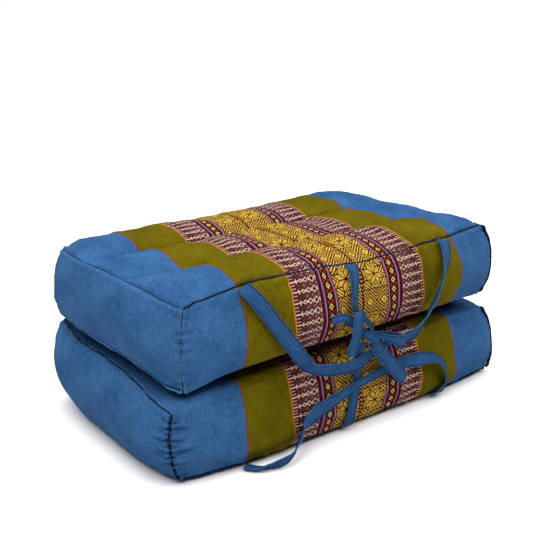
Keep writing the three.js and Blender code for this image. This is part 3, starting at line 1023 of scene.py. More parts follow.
# Half section of a folded and stitched tape: share of the half width, and half thickness in mm
TAPE_SECTION = [
    (-1.0, 0.25),
    (-0.975, 0.66),
    (-0.92, 0.9),
    (-0.86, 0.8),
    (-0.8, 0.42),
    (-0.74, 0.62),
    (-0.6, 0.72),
    (-0.3, 0.7),
    (0.0, 0.66),
    (0.3, 0.7),
    (0.6, 0.72),
    (0.74, 0.62),
    (0.8, 0.42),
    (0.86, 0.8),
    (0.92, 0.9),
    (0.975, 0.66),
    (1.0, 0.25),
]
TAPE_STEPS = 8
# Height, seed and scale of a tape's curl across, its ripple, and its lean
TAPE_WOBBLES = [(0.5, 0, 24), (0.35, 5, 9), (0.35, 9, 15)]
# Where the hem's stitched line runs, in mm from the tape's edge
HEM_LINE = 1.3


def tape_frames(rows, full_width, steps):
    """Middle, across direction, face direction and width at even steps along a tape's route."""
    points = np.array([row[:3] for row in rows], float)
    count = (len(rows) - 1) * steps
    frames = []
    for i in range(count + 1):
        t = i / count
        place = t * (len(rows) - 1)
        at = min(int(math.floor(place)), len(rows) - 2)
        ease = smooth(place - at)
        lean, tilt = (mix(rows[at][c], rows[at + 1][c], ease) for c in (4, 5))
        width = mix(full_width - rows[at][3], full_width - rows[at + 1][3], ease)
        middle = route_point(points, t)
        tangent = route_point(points, min(t + 1e-4, 1)) - route_point(points, max(t - 1e-4, 0))
        tangent /= np.linalg.norm(tangent)
        lean, tilt = math.radians(lean), math.radians(tilt)
        across = np.array([
            math.cos(lean) * math.cos(tilt),
            -math.sin(tilt),
            math.sin(lean) * math.cos(tilt),
        ])
        across -= tangent * across.dot(tangent)
        across /= np.linalg.norm(across)
        frames.append((middle, across, np.cross(tangent, across), width))
    return frames


def make_tape(name, rows, full_width, seed):
    """A flat tape, folded in at its edges and stitched along both, swept along its route."""
    frames = tape_frames(rows, full_width, TAPE_STEPS)
    run = run_along(np.array([f[0] for f in frames]))
    curls, ripples, leans = (
        height * wander(run, seed + more, scale) for height, more, scale in TAPE_WOBBLES
    )
    section = TAPE_SECTION + [(u, -v) for u, v in reversed(TAPE_SECTION)]
    count = len(section)
    points = []
    for (middle, across, face, width), bend, wave, lean in zip(frames, curls, ripples, leans):
        for u, v in section:
            off = v + bend * (u * u - 0.3) + wave + lean * u
            points.append(middle + across * (u * width / 2) + face * off)
    faces = []
    corners = []
    for i in range(len(frames) - 1):
        for k in range(count):
            m = (k + 1) % count
            faces.append([i * count + k, (i + 1) * count + k, (i + 1) * count + m, i * count + m])
            half = frames[i][3] / 2
            for step, column in ((i, k), (i + 1, k), (i + 1, m), (i, m)):
                corners.append((section[column][0] * half, run[step]))
    last = (len(frames) - 1) * count
    half_count = count // 2
    for k in range(half_count - 1):
        far = count - 1 - k
        near_cap = [k, k + 1, far - 1, far]
        faces.append(near_cap)
        faces.append([last + k, last + far, last + far - 1, last + k + 1])
        for end in (0, -1):
            for column in (k, k + 1, far - 1, far):
                corners.append((section[column][0] * frames[end][3] / 2, run[end]))
    piece = new_piece(name, points, faces)
    set_uv(piece, corners)
    halves = np.repeat([f[3] / 2 for f in frames], count)
    shares = np.tile([1 - abs(u) for u, _ in section], len(frames))
    point_attribute(piece, "rim", halves * shares)
    return piece, float(run[-1]), float(np.mean([f[3] for f in frames]))


def make_tube(name, path, radii, sides=8, squash=1.0, up=None):
    """A closed tube along a path in mm, with a radius at each point."""
    path = np.asarray(path, float)
    radii = np.broadcast_to(np.asarray(radii, float), (len(path),))
    tangents = units(np.gradient(path, axis=0))
    reference = np.array([0, 0, 1.0]) if up is None else np.asarray(up, float)
    points = []
    for middle, tangent, radius in zip(path, tangents, radii):
        side = np.cross(tangent, reference)
        side /= max(np.linalg.norm(side), 1e-9)
        rise = np.cross(side, tangent)
        for k in range(sides):
            angle = 2 * math.pi * k / sides
            out = side * math.cos(angle) + rise * math.sin(angle) * squash
            points.append(middle + radius * out)
    faces = []
    for i in range(len(path) - 1):
        for k in range(sides):
            m = (k + 1) % sides
            faces.append([i * sides + k, i * sides + m, (i + 1) * sides + m, (i + 1) * sides + k])
    faces.append(list(range(sides))[::-1])
    last = (len(path) - 1) * sides
    faces.append([last + k for k in range(sides)])
    return new_piece(name, points, faces)


def resample(path, pitch):
    """Points at an even pitch along a line, and how far along it each lies."""
    path = np.asarray(path, float)
    run = run_along(path)
    count = max(int(round(run[-1] / pitch)), 2)
    places = np.linspace(0, run[-1], count + 1)
    return read_along(places, run, path), places


def one_stitch(radius, thread, turn):
    """One loop of thread, modelled once: a ring with its hidden part cut away."""
    bpy.ops.object.select_all(action="DESELECT")
    bpy.ops.mesh.primitive_torus_add(
        major_segments=14,
        minor_segments=6,
        major_radius=radius * MM,
        minor_radius=thread / 2 * MM,
        location=(0, 0, 0),
        rotation=(0, math.radians(90), 0),
    )
    stitch = bpy.context.object
    bpy.ops.object.transform_apply(location=True, rotation=True, scale=True)
    bpy.ops.object.mode_set(mode="EDIT")
    bpy.ops.mesh.select_all(action="SELECT")
    bpy.ops.mesh.bisect(
        plane_co=(0, 0, -0.45 * radius * MM),
        plane_no=(0, 0, 1),
        use_fill=True,
        clear_inner=True,
    )
    bpy.ops.object.mode_set(mode="OBJECT")
    points = vertex_points(stitch)
    points = points @ np.array(Matrix.Rotation(math.radians(turn), 3, "Z")).T
    faces = [list(face.vertices) for face in stitch.data.polygons]
    mesh = stitch.data
    bpy.data.objects.remove(stitch)
    bpy.data.meshes.remove(mesh)
    return points, faces


def sew(name, stitch, places):
    """Copies of one stitch joined in one mesh. Each place is its point, its direction along the
    seam, its outward direction, and its size."""
    points, faces = stitch
    all_points = []
    all_faces = []
    for middle, tangent, outward, size in places:
        tangent = tangent / np.linalg.norm(tangent)
        outward = outward - tangent * outward.dot(tangent)
        outward = outward / np.linalg.norm(outward)
        side = np.cross(outward, tangent)
        start = len(all_points)
        turned = points @ np.stack([tangent, side, outward]) * size + middle
        all_points.extend(turned)
        all_faces.extend([[v + start for v in face] for face in faces])
    return new_piece(name, all_points, all_faces)


# Seams

LINE_PITCH = 2.5
RIDGE = {"half_width": 1.25, "proud": 1.5, "pitch": 3.3, "thread": 0.55}


def make_ridge(name, path, outward, seed, size=1.0, sway=0.35, stand=0.45):
    """A pinched seam that stands proud along an edge, overcast with thick dark thread."""
    line, run = resample(path, LINE_PITCH)
    outward = np.asarray(outward, float)
    outward = outward / np.linalg.norm(outward)
    swing = sway * (wander(run, seed, 13) + 0.6 * wander(run, seed + 6, 6))
    proud = (RIDGE["proud"] + 0.4 * wander(run, seed + 2, 15)) * size
    side = np.cross(units(np.gradient(line, axis=0)), outward)
    line = line + outward * proud[:, None] * stand + side * swing[:, None]
    radii = RIDGE["half_width"] * size * (1 + 0.22 * wander(run, seed + 1, 7))
    fold = make_tube(name + "_fold", line, radii, sides=10, squash=1.3, up=outward)
    knots, places = resample(line, RIDGE["pitch"])
    tangents = np.gradient(knots, axis=0)
    sizes = 1 + 0.1 * wander(places, seed + 3, 4)
    jitter = 0.3 * wander(places, seed + 4, 3)
    stitch = one_stitch(RIDGE["half_width"] * size + 0.2, RIDGE["thread"], 30)
    thread = sew(
        name + "_thread",
        stitch,
        [(k + t * j, t, outward, s) for k, t, j, s in zip(knots, tangents, jitter / 3, sizes)],
    )
    return fold, thread


SEAM_LINE = {"pitch": 2.3, "thread": 0.5}
STITCH_ROW_SEEDS = 3


def beside_seam(piece, line, normals, offset, seed, pitch):
    """Points on the cloth that follow a seam at an offset to one side of it, with their normals."""
    knots, places = resample(line, pitch)
    tangents = np.gradient(knots, axis=0)
    across = units(np.cross(tangents, read_along(places, run_along(line), normals)))
    wobble = 0.2 * wander(places, seed + 1, 4)
    spots = []
    for knot, tangent, side, shift in zip(knots, tangents, across, wobble):
        near = Vector((knot + side * (offset + shift)) * MM)
        _, spot, normal, _ = piece.closest_point_on_mesh(near)
        spots.append((np.array(spot) / MM, tangent, np.array(normal), 1.0))
    return spots


def make_flange(name, piece, seam, seed, outward, offset, radius):
    """A seam's folded edge that stands out like piping, paled as a painted highlight, and a dark
    line beside it, painted shade of the crease there.
    """
    path, normals = seam
    line, run = resample(path, LINE_PITCH)
    outward = np.asarray(outward, float) / np.linalg.norm(outward)
    line = line + outward * (radius * (1.3 + 0.4 * wander(run, seed, 17)))[:, None]
    roll = make_tube(name + "_roll", line, radius * (1 + 0.18 * wander(run, seed + 1, 8)), sides=8)
    spots = beside_seam(piece, path, normals, offset, seed, LINE_PITCH)
    groove = make_tube(name + "_groove", [spot[0] for spot in spots], 0.62, sides=6)
    return roll, groove


def make_seam_line(name, piece, seam, seed, rows, radius, sway, sink=0.1):
    """A plain sewn seam: a sunk dark line, painted shade of the seam's crease together with its
    dark thread, and a row of pale stitches at each given offset.
    """
    path, normals = seam
    line, run = resample(path, LINE_PITCH)
    outward = units(read_along(run, run_along(path), normals))
    side = np.cross(units(np.gradient(line, axis=0)), outward)
    line = line + side * (sway * wander(run, seed, 12))[:, None] - outward * sink
    made = [make_tube(name + "_line", line, radius * (1 + 0.2 * wander(run, seed + 2, 9)), sides=6)]
    for number, (offset, size) in enumerate(rows):
        row_seed = seed + STITCH_ROW_SEEDS * number
        spots = beside_seam(piece, line, outward, offset, row_seed, SEAM_LINE["pitch"])
        stitch = one_stitch(size, SEAM_LINE["thread"], RUNNING)
        made.append(sew(f"{name}_stitches_{number}", stitch, spots))
    return made


# The turn of a running stitch from the ring's own plane, in degrees
RUNNING = 90

# Rough repair stitches of thick black thread at the lower leaf's front left corner: how high each
# lies, its turn from the seam in degrees, and its size
LOOP_STITCHES = [
    (78, 70, 0.9),
    (75, 40, 1.1),
    (71.5, 115, 1.0),
    (68, 60, 1.25),
    (65, 100, 0.9),
    (61.5, 50, 1.1),
    (58, 125, 1.0),
    (54, 75, 1.3),
    (50.5, 45, 1.0),
    (47, 110, 1.15),
    (43, 60, 1.0),
    (39.5, 95, 1.25),
    (36, 130, 0.95),
    (32, 70, 1.1),
    (28, 50, 1.0),
    (24.5, 105, 1.2),
    (20, 65, 0.95),
    (16.5, 120, 1.1),
    (13, 80, 1.0),
    (9, 55, 1.15),
    (5.5, 100, 0.9),
]


def make_loop_stitches(name, seam, outward):
    path = seam[0]
    order = np.argsort(path[:, 2])
    places = []
    for height, turn, size in LOOP_STITCHES:
        point = np.array([np.interp(height, path[order, 2], path[order, c]) for c in range(3)])
        lean = math.radians(turn - 90)
        along = np.array([0, 0, 1.0])
        across = np.cross(along, outward)
        direction = along * math.cos(lean) + across / np.linalg.norm(across) * math.sin(lean)
        root = point - np.asarray(outward) * 0.4
        places.append((root, direction, np.asarray(outward, float), size))
    return sew(name, one_stitch(radius=2.1, thread=0.85, turn=0), places)


FRAY_STRANDS = 16


def make_fray(name, end, direction, across, seed):
    """Loose threads at a cut end of tape. The seed makes the noise vectors the same each run."""
    noise.seed_set(seed)
    points = []
    faces = []
    for strand in range(FRAY_STRANDS):
        share = (strand + 0.5) / FRAY_STRANDS * 2 - 1
        wave = noise.noise_vector(Vector((strand * 1.7, seed * 3.1, 0.4)))
        root = end + across * (share * 4.2)
        tip = root + direction * (2.4 + 2.2 * wave[0]) + np.array(wave) * 1.8
        kink = noise.noise_vector(Vector((seed * 1.3, strand * 2.9, 7.7)))
        bend = (root + tip) / 2 + np.array(kink)
        start = len(points)
        for place, radius in ((root - direction * 1.5, 0.22), (bend, 0.2), (tip, 0.12)):
            for k in range(4):
                angle = math.pi / 2 * k
                points.append(place + radius * np.array([math.cos(angle), math.sin(angle), 0]))
        for ring in range(2):
            for k in range(4):
                m = (k + 1) % 4
                low, top = start + ring * 4, start + ring * 4 + 4
                faces.append([low + k, low + m, top + m, top + k])
        faces.append([start + k for k in (3, 2, 1, 0)])
        faces.append([start + 8 + k for k in range(4)])
    return new_piece(name, points, faces)


# Materials

# How much stronger the lamps are than the light in which the dyes' display colours were read
STUDIO_GAIN = 1.8


def colour(red, green, blue):
    """A display colour from 0 to 255 as the linear colour that a shader takes in this studio."""
    def linear(value):
        value /= 255
        return value / 12.92 if value <= 0.04045 else ((value + 0.055) / 1.055) ** 2.4

    return (*(linear(value) / STUDIO_GAIN for value in (red, green, blue)), 1.0)


class Weave:
    """A value that changes over the cloth. Sums of such values add their own nodes."""

    def __init__(self, dye, socket):
        self.dye = dye
        self.socket = socket

    def math(self, operation, other=None, third=None, first=False):
        values = [other, self] if first else [self, other]
        if third is not None:
            values.append(third)
        return self.dye.number(operation, *[v for v in values if v is not None])

    def __add__(self, other):
        return self.math("ADD", other)

    def __sub__(self, other):
        return self.math("SUBTRACT", other)

    def __rsub__(self, other):
        return self.math("SUBTRACT", other, first=True)

    def __mul__(self, other):
        return self.math("MULTIPLY", other)

    def __truediv__(self, other):
        return self.math("DIVIDE", other)

    __radd__ = __add__
    __rmul__ = __and__ = __mul__

    def __abs__(self):
        return self.math("ABSOLUTE")

    def __lt__(self, other):
        return self.math("LESS_THAN", other)

    def __gt__(self, other):
        return self.math("GREATER_THAN", other)

    def __or__(self, other):
        return self.math("MAXIMUM", other)

    def repeat(self, pitch):
        """The distance from the middle of the nearest repeat."""
        return self.math("WRAP", pitch / 2, -pitch / 2)

    def snap(self, step):
        return self.math("SNAP", step) + step / 2


class Dye:
    """One material: its nodes, and the ways to add them."""

    def __init__(self, name, roughness):
        self.material = bpy.data.materials.new(name)
        self.material.use_nodes = True
        self.tree = self.material.node_tree
        self.shader = self.tree.nodes["Principled BSDF"]
        self.shader.inputs["Roughness"].default_value = roughness
        self.shader.inputs["Specular IOR Level"].default_value = 0.04

    def node(self, kind, settings=None, **sockets):
        """Adds a node of a type, with its settings first and then its sockets."""
        made = self.tree.nodes.new(kind)
        for name, value in (settings or {}).items():
            setattr(made, name, value)
        for name, value in sockets.items():
            self.put(made.inputs[name.replace("_", " ")], value)
        return made

    def put(self, socket, value):
        if isinstance(value, Weave):
            value = value.socket
        if isinstance(value, bpy.types.NodeSocket):
            self.tree.links.new(value, socket)
        else:
            socket.default_value = value

    def number(self, operation, *values):
        made = self.tree.nodes.new("ShaderNodeMath")
        made.operation = operation
        for socket, value in zip(made.inputs, values):
            self.put(socket, value)
        return Weave(self, made.outputs[0])

    def blend(self, share, below, above):
        """below where share is 0, and above where it is 1."""
        made = self.tree.nodes.new("ShaderNodeMix")
        made.data_type = "RGBA"
        self.put(made.inputs["Factor"], share)
        self.put(made.inputs["A"], below)
        self.put(made.inputs["B"], above)
        return made.outputs["Result"]

    def cloth_place(self):
        """Across and along the flat cloth, in mm."""
        flat = self.node("ShaderNodeUVMap", {"uv_map": "cloth"})
        split = self.node("ShaderNodeSeparateXYZ", Vector=flat.outputs["UV"])
        across, along = (Weave(self, split.outputs[axis]) / MM for axis in ("X", "Y"))
        return across, along

    def grain(self, across, along, scale_across, scale_along, detail=2.0):
        """Soft noise from 0 to 1 over the flat cloth, stretched by its two scales, in mm."""
        place = self.node(
            "ShaderNodeCombineXYZ",
            X=across / scale_across,
            Y=along / scale_along,
        )
        made = self.node(
            "ShaderNodeTexNoise",
            Vector=place.outputs["Vector"],
            Scale=1.0,
            Detail=detail,
            Roughness=0.6,
        )
        return Weave(self, made.outputs["Fac"])

    def finish(self, base, height=None, roughness=None, depth=0.25):
        self.put(self.shader.inputs["Base Color"], base)
        if roughness is not None:
            self.put(self.shader.inputs["Roughness"], roughness)
        if height is not None:
            bump = self.node("ShaderNodeBump", Height=height, Strength=1.0, Distance=depth * MM)
            self.put(self.shader.inputs["Normal"], bump.outputs["Normal"])
        return self.material


BLUE_DEEP = colour(35, 80, 130)
BLUE_PALE = colour(79, 130, 187)
TAPE_DEEP = colour(28, 68, 116)
TAPE_PALE = colour(66, 114, 168)
GREEN_DEEP = colour(86, 76, 0)
GREEN_PALE = colour(134, 120, 10)
MAROON = colour(68, 18, 28)
STAR_GROUND = colour(44, 14, 14)
ROSE_BROWN = colour(118, 66, 66)
BAR_ROSE = colour(184, 142, 138)
SMALL_ROSE = colour(150, 104, 100)
CREAM = colour(234, 200, 180)
CRIMSON = colour(112, 26, 48)
LILAC = colour(164, 122, 172)
GOLD_DEEP = colour(220, 156, 22)
GOLD_PALE = colour(252, 220, 88)
CHAIN_YELLOW = colour(222, 206, 104)
CHAIN_GREEN = colour(24, 34, 14)
CHAIN_GROUND = colour(58, 16, 18)
CHAIN_RED = colour(164, 42, 18)
EDGE_ORANGE = colour(232, 134, 10)
EDGE_RED = colour(150, 44, 34)
NAVY_THREAD = colour(14, 22, 34)
NAVY_CLOTH = colour(22, 52, 92)
OVERCAST_GREY_HIGHLIGHT = colour(122, 124, 128)
PALE_THREAD = colour(118, 156, 196)
BLACK_THREAD = colour(10, 12, 18)

# Where the woven bands lie, in mm from the middle of the cloth
BAND = {
    "stars": 35,
    "chain": 48,
    "comb": 83,
    "green": 136,
    "edge_line": 0.6,
    "lilac_line": 0.85,
}
ROW_PITCH = 9.4
COMB_DIAMONDS = ((12.6, 1.7), (18.5, 2.2), (25.2, 2.9))
STAR_PITCH = 36
STAR_ROW = 57
STAR_START = 16
# Half the height of a star's row, half its width, and the middle line of the chevrons
STAR_HALF = 14.4
STAR_SIDE = 15.4
CHEVRON_MIDDLE = STAR_PITCH / 4
FLOAT_WIDTH = 0.7


def weave_height(dye, across, along, pitch=0.55):
    """Over and under of a plain weave."""
    warp = dye.number("SINE", across * (2 * math.pi / pitch))
    weft = dye.number("SINE", along * (2 * math.pi / pitch))
    return warp * weft


def heather(dye, across, along):
    """Share of pale yarn in the cloth: slubs both ways, small specks and soft fading."""
    slub_warp = dye.grain(across, along, 1.3, 10.0)
    slub_weft = dye.grain(across, along, 10.0, 1.3)
    speck = dye.grain(across, along, 1.9, 1.9, 3.0)
    faded = dye.grain(across, along, 38.0, 52.0, 3.0)
    return (slub_warp + slub_weft) * 0.8 + speck * 1.4 + faded * 1.2 - 1.65


def comb_band(dye, away, along):
    """Bars, crosses and small diamonds in rows. away counts from the orange edge."""
    row = along.repeat(ROW_PITCH)
    off = abs(row)
    bars = (abs(row.repeat(ROW_PITCH / 3)) < 0.7) & (away < 5.4) & (away > 0.7)
    stem = (off < 0.6) & (away < 11.2) & (away > 0.7)
    cross = (abs(away - 7.8) < 0.7) & (off < 2.1)
    figures = bars | stem | cross
    for middle, half in COMB_DIAMONDS:
        diamond = abs(away - middle) + off
        figures = figures | (abs(diamond - half) < 0.7)
        figures = figures | ((abs(away - middle - half - 1.2) < 0.6) & (off < half * 0.8))
    half_row = abs((along + ROW_PITCH / 2).repeat(ROW_PITCH))
    small = abs((away - 15.5).repeat(6.6)) + half_row
    small = (abs(small - 1.2) < 0.55) & (away > 11) & (away < 31.5)
    fold = abs((away - COMB_DIAMONDS[1][0]).repeat(6.2))
    contour = off + fold * 0.72
    shade = (abs((contour - 4.45).repeat(1.9)) < 0.4) & (contour > 3.4) & (away > 6.2)
    shade = shade & (away < 31)
    base = dye.blend(shade, MAROON, ROSE_BROWN)
    base = dye.blend(small, base, SMALL_ROSE)
    base = dye.blend(abs(away - 33.7) < 0.9, base, CRIMSON)
    pale = dye.blend((away < 5.4) & (off > 1.5), CREAM, BAR_ROSE)
    base = dye.blend(figures, base, pale)
    return base, figures


def chain_band(dye, away, along):
    """Small open diamonds with red wedges between them. away counts from the band's middle."""
    row = along.repeat(ROW_PITCH)
    off = abs(row)
    side = abs(away)
    between = ROW_PITCH / 2 - off
    diamond = side + off * 0.82
    wedge = (side > between * 1.1 + 0.7) & (side < 3.7) & (between < 2.2)
    base = dye.blend(wedge, CHAIN_GROUND, CHAIN_RED)
    ring = (diamond < 2.75) & (diamond > 1.05)
    base = dye.blend(ring, base, CHAIN_YELLOW)
    base = dye.blend(diamond < 1.05, base, CHAIN_GREEN)
    return base, ring


def star_band(dye, across, along):
    """Two columns of eight-pointed stars, in rows that take turns with rows of nested chevrons."""
    column = abs((across - STAR_PITCH / 2).repeat(STAR_PITCH))
    row = (along - STAR_START).repeat(STAR_ROW)
    level = abs(row)
    far = column.math("MAXIMUM", level)
    near = column.math("MINIMUM", level)
    apart = far - near
    petal = (near > 0.65) & (near < 5.6) & (apart > 0.9) & (apart < 6.4)
    petal = petal & (1 - ((abs(near - apart * 0.85) < 0.32) & (near > 1.7)))
    strokes = (abs((apart - 8.9).repeat(3.6)) < 0.85) & (apart > 7.8) & (far < STAR_HALF)
    corner = (abs((far + near - 16.0).repeat(4.2)) < 1.15) & (near > 7.0) & (apart < 6.4)
    in_star = (level < STAR_HALF) & (column < STAR_SIDE)
    star = (petal | strokes | corner) & in_star
    ladder = (abs(column - 17.4) + abs(along.repeat(4.4))) < 1.3

    below = level - STAR_HALF
    fold = abs((column - CHEVRON_MIDDLE).repeat(STAR_PITCH / 2))
    chevron = (fold - below * 1.02).repeat(3.6)
    hatch = (abs(chevron) < 0.74) & (below > 1.8)
    rail = (abs(below - 0.4) < 0.5) & (abs(across.repeat(4.5)) < 1.5)
    knots = (abs(column - CHEVRON_MIDDLE) + abs(level - STAR_ROW / 2)) < 3.0
    eye = (abs(column - CHEVRON_MIDDLE) + abs(level - STAR_ROW / 2)) < 1.1
    gap = (abs(column - 17.6) < 0.5) & (below > 0)
    gold = star | ((hatch | knots) & (1 - (gap | eye))) | rail
    tone = dye.grain(across, along, 2.2, 2.2)
    thread = dye.blend(tone * 2.4 - 0.6, GOLD_DEEP, GOLD_PALE)
    ground = dye.blend(dye.grain(across, along, 3.0, 3.0) * 3.0 - 1.1, STAR_GROUND, CRIMSON)
    ground = dye.blend(ladder & (level < 12), ground, GOLD_DEEP)
    base = dye.blend(gold, ground, thread)
    return base, gold


def band_cloth():
    """The cover's striped cloth: blue ends, green bands, and the brocade in the middle."""
    dye = Dye("striped_brocade_cotton", roughness=0.88)
    across, along = dye.cloth_place()
    away = abs(across)
    fine_across = across.snap(FLOAT_WIDTH / 2)
    fine_along = along.snap(FLOAT_WIDTH / 2)
    fine_away = abs(fine_across)
    pale = heather(dye, across, along)

    blue = dye.blend(pale, BLUE_DEEP, BLUE_PALE)
    green = dye.blend(pale, GREEN_DEEP, GREEN_PALE)
    comb, comb_float = comb_band(dye, BAND["comb"] - fine_away, fine_along)
    chain_middle = (BAND["stars"] + BAND["chain"]) / 2
    chain, chain_float = chain_band(dye, fine_away - chain_middle, fine_along)
    stars, star_float = star_band(dye, fine_across, fine_along)

    base = dye.blend(away > BAND["stars"], stars, chain)
    base = dye.blend(away > BAND["chain"], base, comb)
    base = dye.blend(away > BAND["comb"], base, green)
    base = dye.blend(away > BAND["green"], base, blue)
    base = dye.blend(abs(away - (BAND["stars"] - 1.7)) < 0.8, base, CRIMSON)
    lilac = abs(away - BAND["stars"]) < BAND["lilac_line"]
    lilac = lilac | (abs(away - BAND["chain"]) < BAND["lilac_line"])
    base = dye.blend(lilac, base, LILAC)
    base = dye.blend(abs(away - BAND["comb"]) < BAND["edge_line"], base, EDGE_ORANGE)
    base = dye.blend(abs(away - BAND["green"]) < BAND["edge_line"], base, EDGE_RED)

    in_stars = away < BAND["stars"]
    in_comb = (away > BAND["chain"]) & (away < BAND["comb"])
    in_chain = (away > BAND["stars"]) & (away < BAND["chain"])
    floats = (in_stars & star_float) | (in_comb & comb_float) | (in_chain & chain_float) | lilac
    height = weave_height(dye, across, along) * 0.35 + pale * 0.4 + floats * 1.0
    roughness = 0.9 - floats * 0.25
    return dye.finish(base, height, roughness)


def tape_cotton():
    """The same blue cotton, folded into tape, with a stitched line near each edge and a painted
    highlight along each folded rim.
    """
    dye = Dye("blue_cotton_tape", roughness=0.88)
    across, along = dye.cloth_place()
    pale = heather(dye, across, along)
    base = dye.blend(pale, TAPE_DEEP, TAPE_PALE)
    rim = Weave(dye, dye.node("ShaderNodeAttribute", {"attribute_name": "rim"}).outputs["Fac"])
    dash = abs(along.repeat(2.6)) < 0.85
    line = abs(rim - HEM_LINE) < 0.42
    # Painted highlight: the tape is paler within HEM_LINE of each edge, where the folded rim
    # catches the light.
    base = dye.blend(rim < HEM_LINE, base, dye.blend(0.4, base, TAPE_PALE))
    base = dye.blend(line, base, dye.blend(dash, NAVY_THREAD, NAVY_CLOTH))
    height = weave_height(dye, across, along) * 0.35 + pale * 0.4 + (line & dash) * 0.5
    return dye.finish(base, height)


def object_place(dye):
    """Place in the object's own frame, in mm."""
    place = dye.node("ShaderNodeTexCoord")
    split = dye.node("ShaderNodeSeparateXYZ", Vector=place.outputs["Object"])
    return [Weave(dye, split.outputs[axis]) / MM for axis in ("X", "Y", "Z")]


def thread_dye(name, dark, pale, highlight_span=None, paleness=0.3):
    """Sewing thread with flecks of its pale colour. If a span is given, a painted highlight pales
    it across the brocade.
    """
    dye = Dye(name, roughness=0.7)
    x, y, z = object_place(dye)
    twist = abs((x + y * 0.6 + z).repeat(0.6)) / 0.3
    fleck = dye.grain(x, z, 2.4, 2.4)
    share = fleck * 1.6 - 0.8 + paleness
    # Painted highlight: the thread is paler across the given span.
    if highlight_span is not None:
        share = share + (abs(x) < highlight_span) * 0.45
    base = dye.blend(share, dark, pale)
    return dye.finish(base, twist, depth=0.12)


# Light, camera and floor

# Focal length of the fitted view in pixels of the photo, the photo's width, and the sensor's in mm
FOCAL_PIXELS = 904.0865
PHOTO_WIDTH = 550
SENSOR = 36


def make_camera():
    """The photo's view: its place, and its sideways and upward directions."""
    place = Vector((-546.484, -763.381, 426.915)) * MM
    ahead = Vector((0.55737, 0.77384, -0.30085))
    side = Vector((0.80571, -0.59160, -0.02900))
    rise = Vector((0.20042, 0.22624, 0.95323))
    lens = bpy.data.cameras.new("photo_view")
    lens.sensor_width = SENSOR
    lens.lens = FOCAL_PIXELS / PHOTO_WIDTH * SENSOR
    camera = add_object("photo_view", lens)
    turn = Matrix((side, rise, -ahead)).transposed().to_4x4()
    camera.matrix_world = Matrix.Translation(place) @ turn
    bpy.context.scene.camera = camera


# Light of the room from all round, a broad lamp overhead and a nearer one on the left. All are
# strong by STUDIO_GAIN, so that the floor washes out, and the dyes are darkened by the same share.
ROOM_LIGHT = 0.135
WHITE = (1, 1, 1, 1)
FLOOR_WHITE = (0.76, 0.76, 0.76, 1.0)
OVERHEAD = {"strength": 6.2, "spread": 96, "from": (0.12, -0.13, 1)}
LEFT_LAMP = {"power": 6.2, "size": 0.9, "place": (-0.7, -0.3, 1.0)}


def make_studio():
    world = bpy.data.worlds.new("studio")
    world.use_nodes = True
    nodes = world.node_tree.nodes
    room = nodes["Background"]
    room.inputs["Color"].default_value = WHITE
    room.inputs["Strength"].default_value = ROOM_LIGHT
    backdrop = nodes.new("ShaderNodeBackground")
    backdrop.inputs["Color"].default_value = WHITE
    seen = nodes.new("ShaderNodeLightPath")
    both = nodes.new("ShaderNodeMixShader")
    links = world.node_tree.links
    links.new(seen.outputs["Is Camera Ray"], both.inputs["Fac"])
    links.new(room.outputs["Background"], both.inputs[1])
    links.new(backdrop.outputs["Background"], both.inputs[2])
    links.new(both.outputs["Shader"], nodes["World Output"].inputs["Surface"])
    bpy.context.scene.world = world

    soft = bpy.data.lights.new("softbox_overhead", "SUN")
    soft.energy = OVERHEAD["strength"]
    soft.angle = math.radians(OVERHEAD["spread"])
    lamp = add_object("softbox_overhead", soft)
    lamp.rotation_euler = Vector(OVERHEAD["from"]).to_track_quat("Z", "Y").to_euler()

    near = bpy.data.lights.new("softbox_left", "AREA")
    near.energy = LEFT_LAMP["power"]
    near.size = LEFT_LAMP["size"]
    lamp = add_object("softbox_left", near)
    lamp.location = LEFT_LAMP["place"]
    lamp.rotation_euler = Vector(LEFT_LAMP["place"]).to_track_quat("Z", "Y").to_euler()

    bpy.ops.object.select_all(action="DESELECT")
    bpy.ops.mesh.primitive_plane_add(size=60, location=(0, 0, 0))
    floor = bpy.context.object
    floor.name = "studio_floor"
    bpy.ops.object.transform_apply(location=True, rotation=True, scale=True)
    dye = Dye("studio_white", roughness=0.9)
    floor.data.materials.append(dye.finish(FLOOR_WHITE))
    bpy.context.scene.view_settings.view_transform = "Standard"


def dress(piece, material):
    piece.data.materials.clear()
    piece.data.materials.append(material)
    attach(piece, "root")


make_camera()
make_studio()

cloth = band_cloth()
tape = tape_cotton()
# The overcast thread's grey flecks, more of them across the brocade, are painted highlight on the
# dark navy thread.
overcast = thread_dye("navy_overcast_thread", NAVY_THREAD, OVERCAST_GREY_HIGHLIGHT, BAND["comb"])
# Dark navy of the ridges' folds. The same dye serves as painted shade in the flange's groove.
navy_fold_and_crease_shade_dye = thread_dye("seam_fold_navy", NAVY_THREAD, NAVY_CLOTH)
# Dark blue of the sunk seam lines: painted shade of the seams' creases, with the dark thread in
# them.
groove_shade_dye = thread_dye("seam_groove_blue", NAVY_THREAD, BLUE_DEEP, paleness=0.35)
pale_stitch = thread_dye("pale_blue_thread", NAVY_CLOTH, PALE_THREAD, paleness=0.85)
# The cover cloth's blue, paled further: a painted highlight along the flange's roll.
flange_highlight_dye = thread_dye("seam_flange_blue", BLUE_DEEP, BLUE_PALE, paleness=0.75)
black_stitch = thread_dye("black_repair_thread", BLACK_THREAD, NAVY_CLOTH)
fray_dye = thread_dye("frayed_cotton", BLUE_PALE, colour(206, 212, 216))

upper, upper_seams = make_leaf(UPPER_LEAF)
lower, lower_seams = make_leaf(LOWER_LEAF)
LEAVES = {"upper": (upper, upper_seams), "lower": (lower, lower_seams)}
for leaf_name, (piece, _) in LEAVES.items():
    dress(piece, cloth)
    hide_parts("leaf_" + leaf_name)

